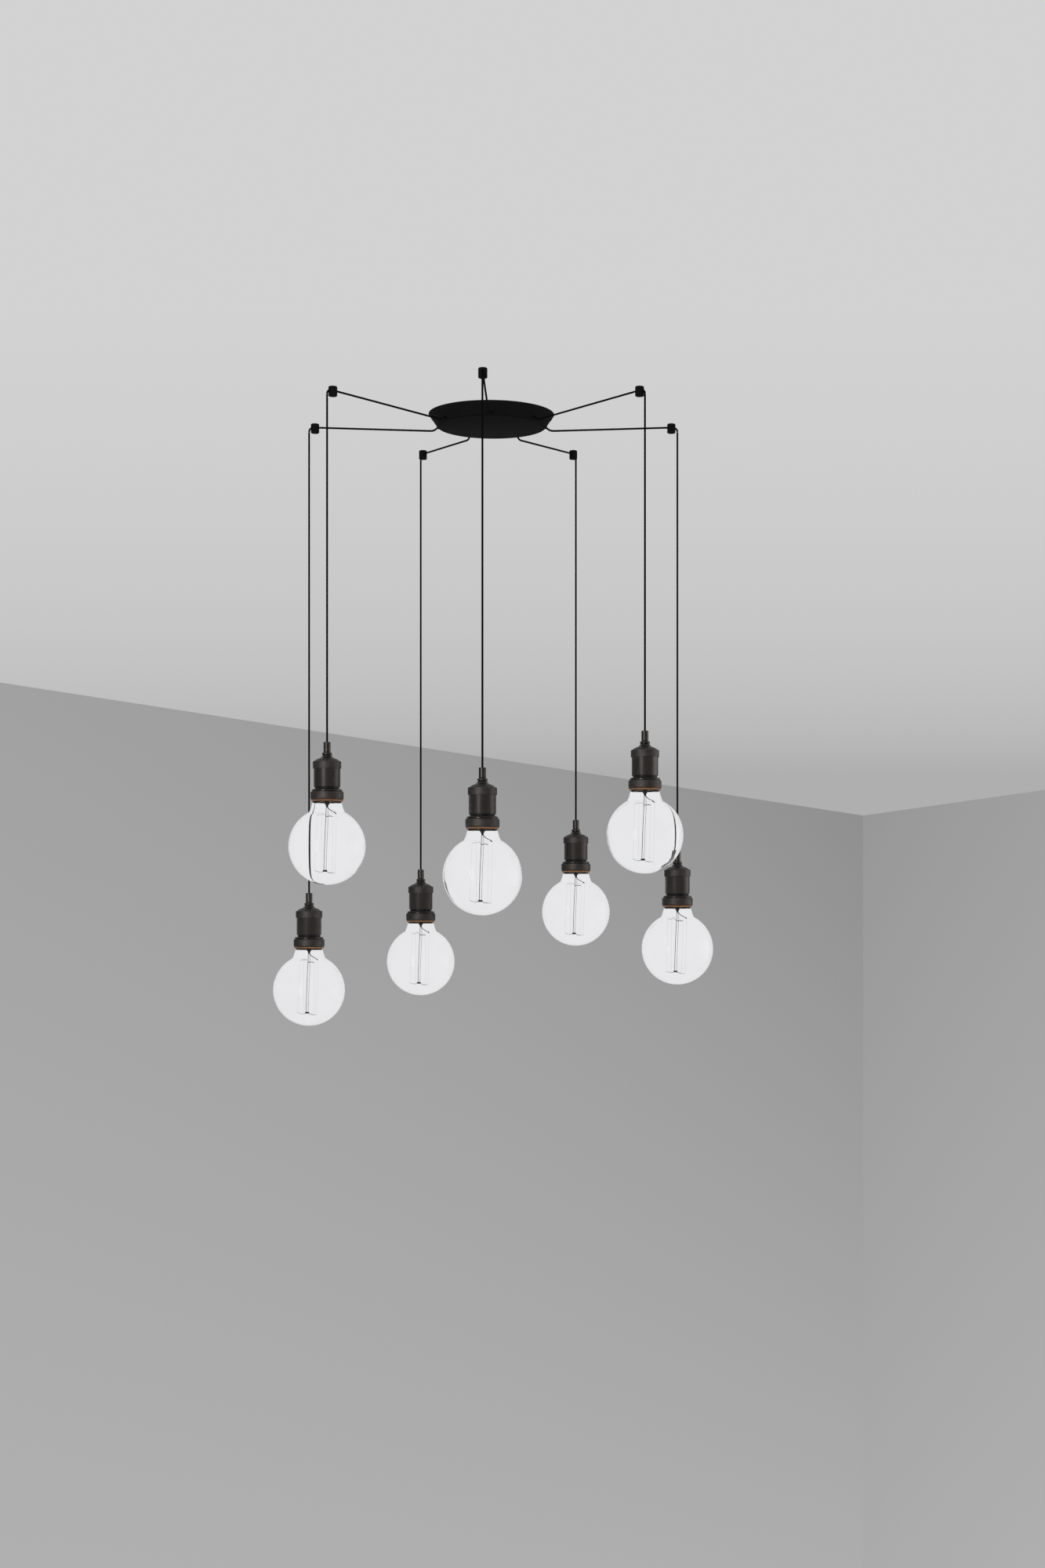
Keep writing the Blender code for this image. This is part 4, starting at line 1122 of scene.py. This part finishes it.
# Shade ring: a rounded bright flange, a knurled band and a tapered lip
FLANGE_MM = (
    (18.75, 71.2), (20.6, 71.0), (21.8, 71.2), (22.7, 71.9), (23.2, 72.9), (23.3, 74.2), (22.9, 74.9),
    (24.2, 75.2), (24.75, 75.5), (25.0, 76.1),
)
RING_BAND_MM = (76.1, 85.3)
RING_RADIUS_MM = 25.0
LIP_MM = (
    (24.7, 85.9), (23.9, 87.6), (23.1, 89.1), (22.7, 89.5), (22.3, 89.4), (22.1, 88.6), (22.1, 84.0),
    (18.75, 80.3),
)
COPPER_MM = (
    (22.3, 89.6), (22.75, 89.45), (23.15, 89.05), (23.92, 87.65), (24.08, 87.75), (23.3, 89.2),
    (22.9, 89.7), (22.3, 89.8),
)
COPPER_SIDES = 128
# The ring is blasted below its flange and outside its mouth
FLANGE_END_MM = 75.0
MOUTH_RADIUS_MM = 22.6


def is_ring_blasted(below, reach):
    """Whether a face of the shade ring is outside, below its bright flange."""
    return below > FLANGE_END_MM and reach > MOUTH_RADIUS_MM


class CHANDELIER_OT_shade_rings(Operator):
    """Shade rings with their copper lips"""

    bl_idname = "chandelier.shade_rings"
    bl_label = "Shade rings"

    def execute(self, context):
        ring = mesh_from(knurled_shape(FLANGE_MM, RING_BAND_MM, RING_RADIUS_MM, LIP_MM), "knurled_ring")
        add_lamp_pieces("knurled_ring", ring, finish(bronze_anodised_aluminium), "lamp", "shade_ring", True)
        add_second_finish("knurled_ring", finish(bronze_blasted_aluminium), is_ring_blasted)
        lip = spun_mesh("copper_lip", COPPER_MM, COPPER_SIDES, closed=True)
        add_lamp_pieces("copper_lip", lip, finish(raw_copper), "lamp", "shade_ring")
        return {"FINISHED"}


# Insulating insert and the thread of the bulb
INSERT_MM = (
    (0.0, 31.2), (17.8, 31.2), (18.3, 31.7), (18.3, 80.6), (21.4, 83.8), (21.4, 90.6), (21.1, 91.0),
    (20.9, 91.0), (20.6, 90.6), (20.6, 84.6), (17.0, 80.8), (17.0, 69.4), (14.6, 69.2), (14.4, 68.8),
    (14.4, 44.4), (0.0, 44.4),
)
INSERT_SIDES = 96
THREAD_PITCH_MM = 3.629
THREAD_HEIGHT_MM = 0.42
THREAD_FADE_MM = 1.5
THREAD_SIDES = 64
# Screw shell: outer and inner radius, depth of its first row, rows, their step, and the depths and radii
# between which its thread is rolled
SHELL_RADII_MM = (13.95, 13.65)
SHELL_TOP_MM = 46.0
SHELL_ROWS = 51
SHELL_ROW_STEP_MM = 0.45
SHELL_THREAD_MM = (45.8, 68.7)
SHELL_WALL_MM = (13.0, 15.0)


def threaded_mesh(name, shape, band_mm, radii_mm):
    """The shape's mesh with a right-hand thread rolled in between two depths and two radii."""
    low, high = band_mm
    for vertex, reach, below, angle in wall_points(shape, *band_mm, *radii_mm):
        wave = math.cos(FULL_TURN * below / THREAD_PITCH_MM + angle)
        fade = min(1.0, (below - low) / THREAD_FADE_MM, (high - below) / THREAD_FADE_MM)
        vertex.co.xy *= 1.0 + THREAD_HEIGHT_MM * MM * wave * fade / reach
    return mesh_from(shape, name)


class CHANDELIER_OT_sockets(Operator):
    """Black insulating inserts with their brass screw shells"""

    bl_idname = "chandelier.sockets"
    bl_label = "Sockets"

    def execute(self, context):
        insert = spun_mesh("socket_body", INSERT_MM, INSERT_SIDES)
        add_lamp_pieces("socket_body", insert, finish(black_phenolic), "lamp", "socket_insert", True)
        outer, inner = SHELL_RADII_MM
        depths = [SHELL_TOP_MM + SHELL_ROW_STEP_MM * row for row in range(SHELL_ROWS)]
        profile = [(outer, depth) for depth in depths] + [(inner, depth) for depth in reversed(depths)]
        shell = spun_shape(profile, THREAD_SIDES, closed=True)
        shell = threaded_mesh("screw_shell", shell, SHELL_THREAD_MM, SHELL_WALL_MM)
        add_lamp_pieces("screw_shell", shell, finish(brass), "lamp", "socket_insert")
        return {"FINISHED"}


# Bulb: cap and glass, radius and depth below the lampholder's top
CAP_TOP_MM = (
    (0.0, 44.6), (3.4, 44.7), (4.0, 45.2), (4.2, 46.0), (8.6, 47.0), (11.4, 48.2), (12.5, 49.0),
)
CAP_RADIUS_MM = 12.65
CAP_ROWS_MM = (49.6, 66.4)
CAP_ROW_STEP_MM = 0.42
CAP_THREAD_MM = (49.4, 66.7)
CAP_WALL_MM = (12.0, 13.0)
CAP_END_MM = ((12.6, 67.0), (13.0, 68.0), (13.0, 71.0), (12.8, 71.5), (0.0, 71.5))
NECK_MM = (
    (12.7, 71.8), (13.3, 74.5), (14.7, 79.0), (16.6, 84.0), (18.6, 88.5), (19.4, 90.6), (21.0, 91.4),
    (22.2, 92.6), (22.9, 94.6), (23.9, 98.4), (25.0, 101.6),
)
NECK_JOIN_RADIUS_MM = 27.0
GLOBE_CENTRE_MM = 157.45
GLOBE_STEPS = 60
GLASS_SIDES = 96


class CHANDELIER_OT_bulb_glass(Operator):
    """Clear blown globes with their necks"""

    bl_idname = "chandelier.bulb_glass"
    bl_label = "Bulb glass"

    def execute(self, context):
        settings = context.scene.chandelier_bulb
        radius = settings.globe_radius / MM
        start = math.asin(NECK_JOIN_RADIUS_MM / radius)
        profile = list(NECK_MM)
        for step in range(GLOBE_STEPS):
            polar = start + (math.pi - start) * step / GLOBE_STEPS
            profile.append((radius * math.sin(polar), GLOBE_CENTRE_MM - radius * math.cos(polar)))
        profile.append((0.0, GLOBE_CENTRE_MM + radius))
        shape = spun_shape(profile, GLASS_SIDES)
        # The turned skin, its normals already outward, gets its wall inward and becomes a closed shell
        bmesh.ops.solidify(shape, geom=shape.faces, thickness=settings.glass_wall)
        glass = mesh_from(shape, "globe_glass", walled=True)
        add_lamp_pieces("globe_glass", glass, finish(blown_glass), "bulb", "bulb_glass", True)
        return {"FINISHED"}


# Stem and wires, in millimetres from the lampholder's top, X to the right
STEM_MM = (
    (0.0, 71.8), (9.5, 71.8), (9.0, 79.0), (6.6, 87.5), (5.0, 91.2),
    (3.0, 93.8), (1.9, 96.0), (1.3, 98.4), (0.0, 99.2),
)
STEM_SIDES = 40
ROD_TOP_MM = (0.3, 0.0, 97.5)
ROD_FOOT_MM = (-3.1, 0.0, 193.0)
ROD_RADIUS_MM = 1.9
ROD_SIDES = 24
ROD_EDGE_MM = 0.8
SUPPORT_WIRES_MM = (
    (((-0.9, -1.6, 96.0), (-1.5, -1.9, 110.0), (-3.4, -1.9, 150.0), (-4.7, -1.9, 193.5)), 0.40),
    (((1.0, -1.2, 95.5), (1.9, -1.9, 112.0), (0.2, -1.9, 150.0), (-1.2, -1.9, 193.5)), 0.21),
    (((0.4, -1.2, 96.5), (3.4, -3.0, 101.5), (8.5, -4.5, 104.8), (14.6, -6.0, 108.6)), 0.60),
    (((-1.4, -2.0, 112.6), (2.5, -3.0, 111.9), (6.2, -4.4, 112.0), (8.6, -5.2, 112.6)), 0.48),
    (((-1.0, 1.8, 112.0), (-5.0, 3.4, 108.4), (-9.0, 4.6, 108.9), (-15.6, 6.8, 109.6)), 0.17),
    (((-4.2, 0.0, 194.6), (-9.5, -2.4, 196.2), (-14.5, -4.4, 195.2), (-18.2, -5.6, 193.8)), 0.22),
    (((-2.4, 0.0, 194.6), (2.4, -2.2, 196.9), (7.4, -4.0, 197.8), (12.4, -5.2, 197.4)), 0.22),
    (((-3.6, 0.0, 194.6), (-7.0, 6.4, 195.8), (-9.6, 11.4, 195.2)), 0.18),
    (((-2.8, 0.0, 194.6), (3.4, 6.0, 196.6), (7.0, 10.6, 197.0)), 0.18),
)
ANCHOR_MM = ((0.0, 192.8), (2.8, 193.0), (3.3, 193.7), (3.3, 195.0), (2.6, 195.6), (0.0, 195.8))
ANCHOR_SIDES = 28
FILAMENTS_MM = (
    ((14.6, -6.0, 108.6), (14.0, -5.8, 150.0), (12.4, -5.2, 197.4)),
    ((-15.6, 6.8, 109.6), (-16.6, 1.0, 150.0), (-18.2, -5.6, 193.8)),
    ((8.6, -5.2, 112.6), (8.4, 2.0, 150.0), (7.0, 10.6, 197.0)),
    ((-9.0, 4.6, 108.9), (-9.4, 8.0, 150.0), (-9.6, 11.4, 195.2)),
)
FILAMENT_RADIUS_MM = 0.06


class CHANDELIER_OT_bulb_cores(Operator):
    """Bulb caps with their stems, rods and wires"""

    bl_idname = "chandelier.bulb_cores"
    bl_label = "Bulb caps and wires"

    def execute(self, context):
        low, high = CAP_ROWS_MM
        count = int((high - low) / CAP_ROW_STEP_MM)
        rows = [(CAP_RADIUS_MM, low + CAP_ROW_STEP_MM * row) for row in range(count + 1)]
        cap = spun_shape((*CAP_TOP_MM, *rows, *CAP_END_MM), THREAD_SIDES)
        cap = threaded_mesh("bulb_cap", cap, CAP_THREAD_MM, CAP_WALL_MM)
        stem = spun_mesh("stem_flare", STEM_MM, STEM_SIDES)
        rod = rod_shape(ROD_RADIUS_MM, *self.down((ROD_TOP_MM, ROD_FOOT_MM)), ROD_SIDES)
        soften(rod, ROD_EDGE_MM, 3)
        supports = [(self.down(points), radius) for points, radius in SUPPORT_WIRES_MM]
        anchor = spun_mesh("anchor", ANCHOR_MM, ANCHOR_SIDES)
        anchor.transform(Matrix.Translation(Vector((ROD_FOOT_MM[0], 0.0, 0.0)) * MM))
        strands = [(self.down(points), FILAMENT_RADIUS_MM) for points in FILAMENTS_MM]
        for name, mesh, maker in (
            ("bulb_cap", cap, nickel_plate),
            ("stem_flare", stem, oxidised_wire),
            ("glass_rod", mesh_from(rod, "glass_rod"), stem_glass),
            ("support_wires", wires_mesh("support_wires", supports), oxidised_wire),
            ("anchor", anchor, oxidised_wire),
            ("filaments", wires_mesh("filaments", strands), coiled_tungsten),
        ):
            add_lamp_pieces(name, mesh, finish(maker), "bulb_cap", "bulb_core", name == "bulb_cap")
        return {"FINISHED"}

    def down(self, points):
        """Points given with their depth, as places."""
        return [(across, along, -below) for across, along, below in points]


class CHANDELIER_PT_panel(Panel):
    """Lists the chandelier's operators and sizes"""

    bl_idname = "CHANDELIER_PT_panel"
    bl_label = "Chandelier"
    bl_space_type = "VIEW_3D"
    bl_region_type = "UI"
    bl_category = "Chandelier"

    def draw(self, context):
        for operator in OPERATORS:
            self.layout.operator(operator.bl_idname)
        for pointer in SETTINGS:
            group = getattr(context.scene, pointer)
            box = self.layout.box()
            for name in group.__annotations__:
                box.prop(group, name)


SETTINGS = {
    "chandelier_stage": StageSettings,
    "chandelier_canopy": CanopySettings,
    "chandelier_hook": HookSettings,
    "chandelier_cord": CordSettings,
    "chandelier_holder": HolderSettings,
    "chandelier_bulb": BulbSettings,
}
OPERATORS = (
    CHANDELIER_OT_stage,
    CHANDELIER_OT_cords,
    CHANDELIER_OT_canopy,
    CHANDELIER_OT_fittings,
    CHANDELIER_OT_hooks,
    CHANDELIER_OT_lampholders,
    CHANDELIER_OT_shade_rings,
    CHANDELIER_OT_sockets,
    CHANDELIER_OT_bulb_glass,
    CHANDELIER_OT_bulb_cores,
)


def register():
    """Register every class and hang the settings on the scene."""
    for group in SETTINGS.values():
        bpy.utils.register_class(group)
    for pointer, group in SETTINGS.items():
        setattr(bpy.types.Scene, pointer, PointerProperty(type=group))
    for operator in OPERATORS:
        bpy.utils.register_class(operator)
    bpy.utils.register_class(CHANDELIER_PT_panel)


def unregister():
    """Take everything back off."""
    bpy.utils.unregister_class(CHANDELIER_PT_panel)
    for operator in reversed(OPERATORS):
        bpy.utils.unregister_class(operator)
    for pointer in SETTINGS:
        delattr(bpy.types.Scene, pointer)
    for group in reversed(SETTINGS.values()):
        bpy.utils.unregister_class(group)


def main():
    """Build the chandelier in its frame."""
    register()
    bpy.ops.chandelier.stage()
    bpy.ops.chandelier.cords()
    bpy.ops.chandelier.canopy()
    bpy.ops.chandelier.fittings()
    bpy.ops.chandelier.hooks()
    bpy.ops.chandelier.lampholders()
    bpy.ops.chandelier.shade_rings()
    bpy.ops.chandelier.sockets()
    bpy.ops.chandelier.bulb_glass()
    bpy.ops.chandelier.bulb_cores()
    bpy.context.view_layer.update()


if __name__ == "__main__":
    main()
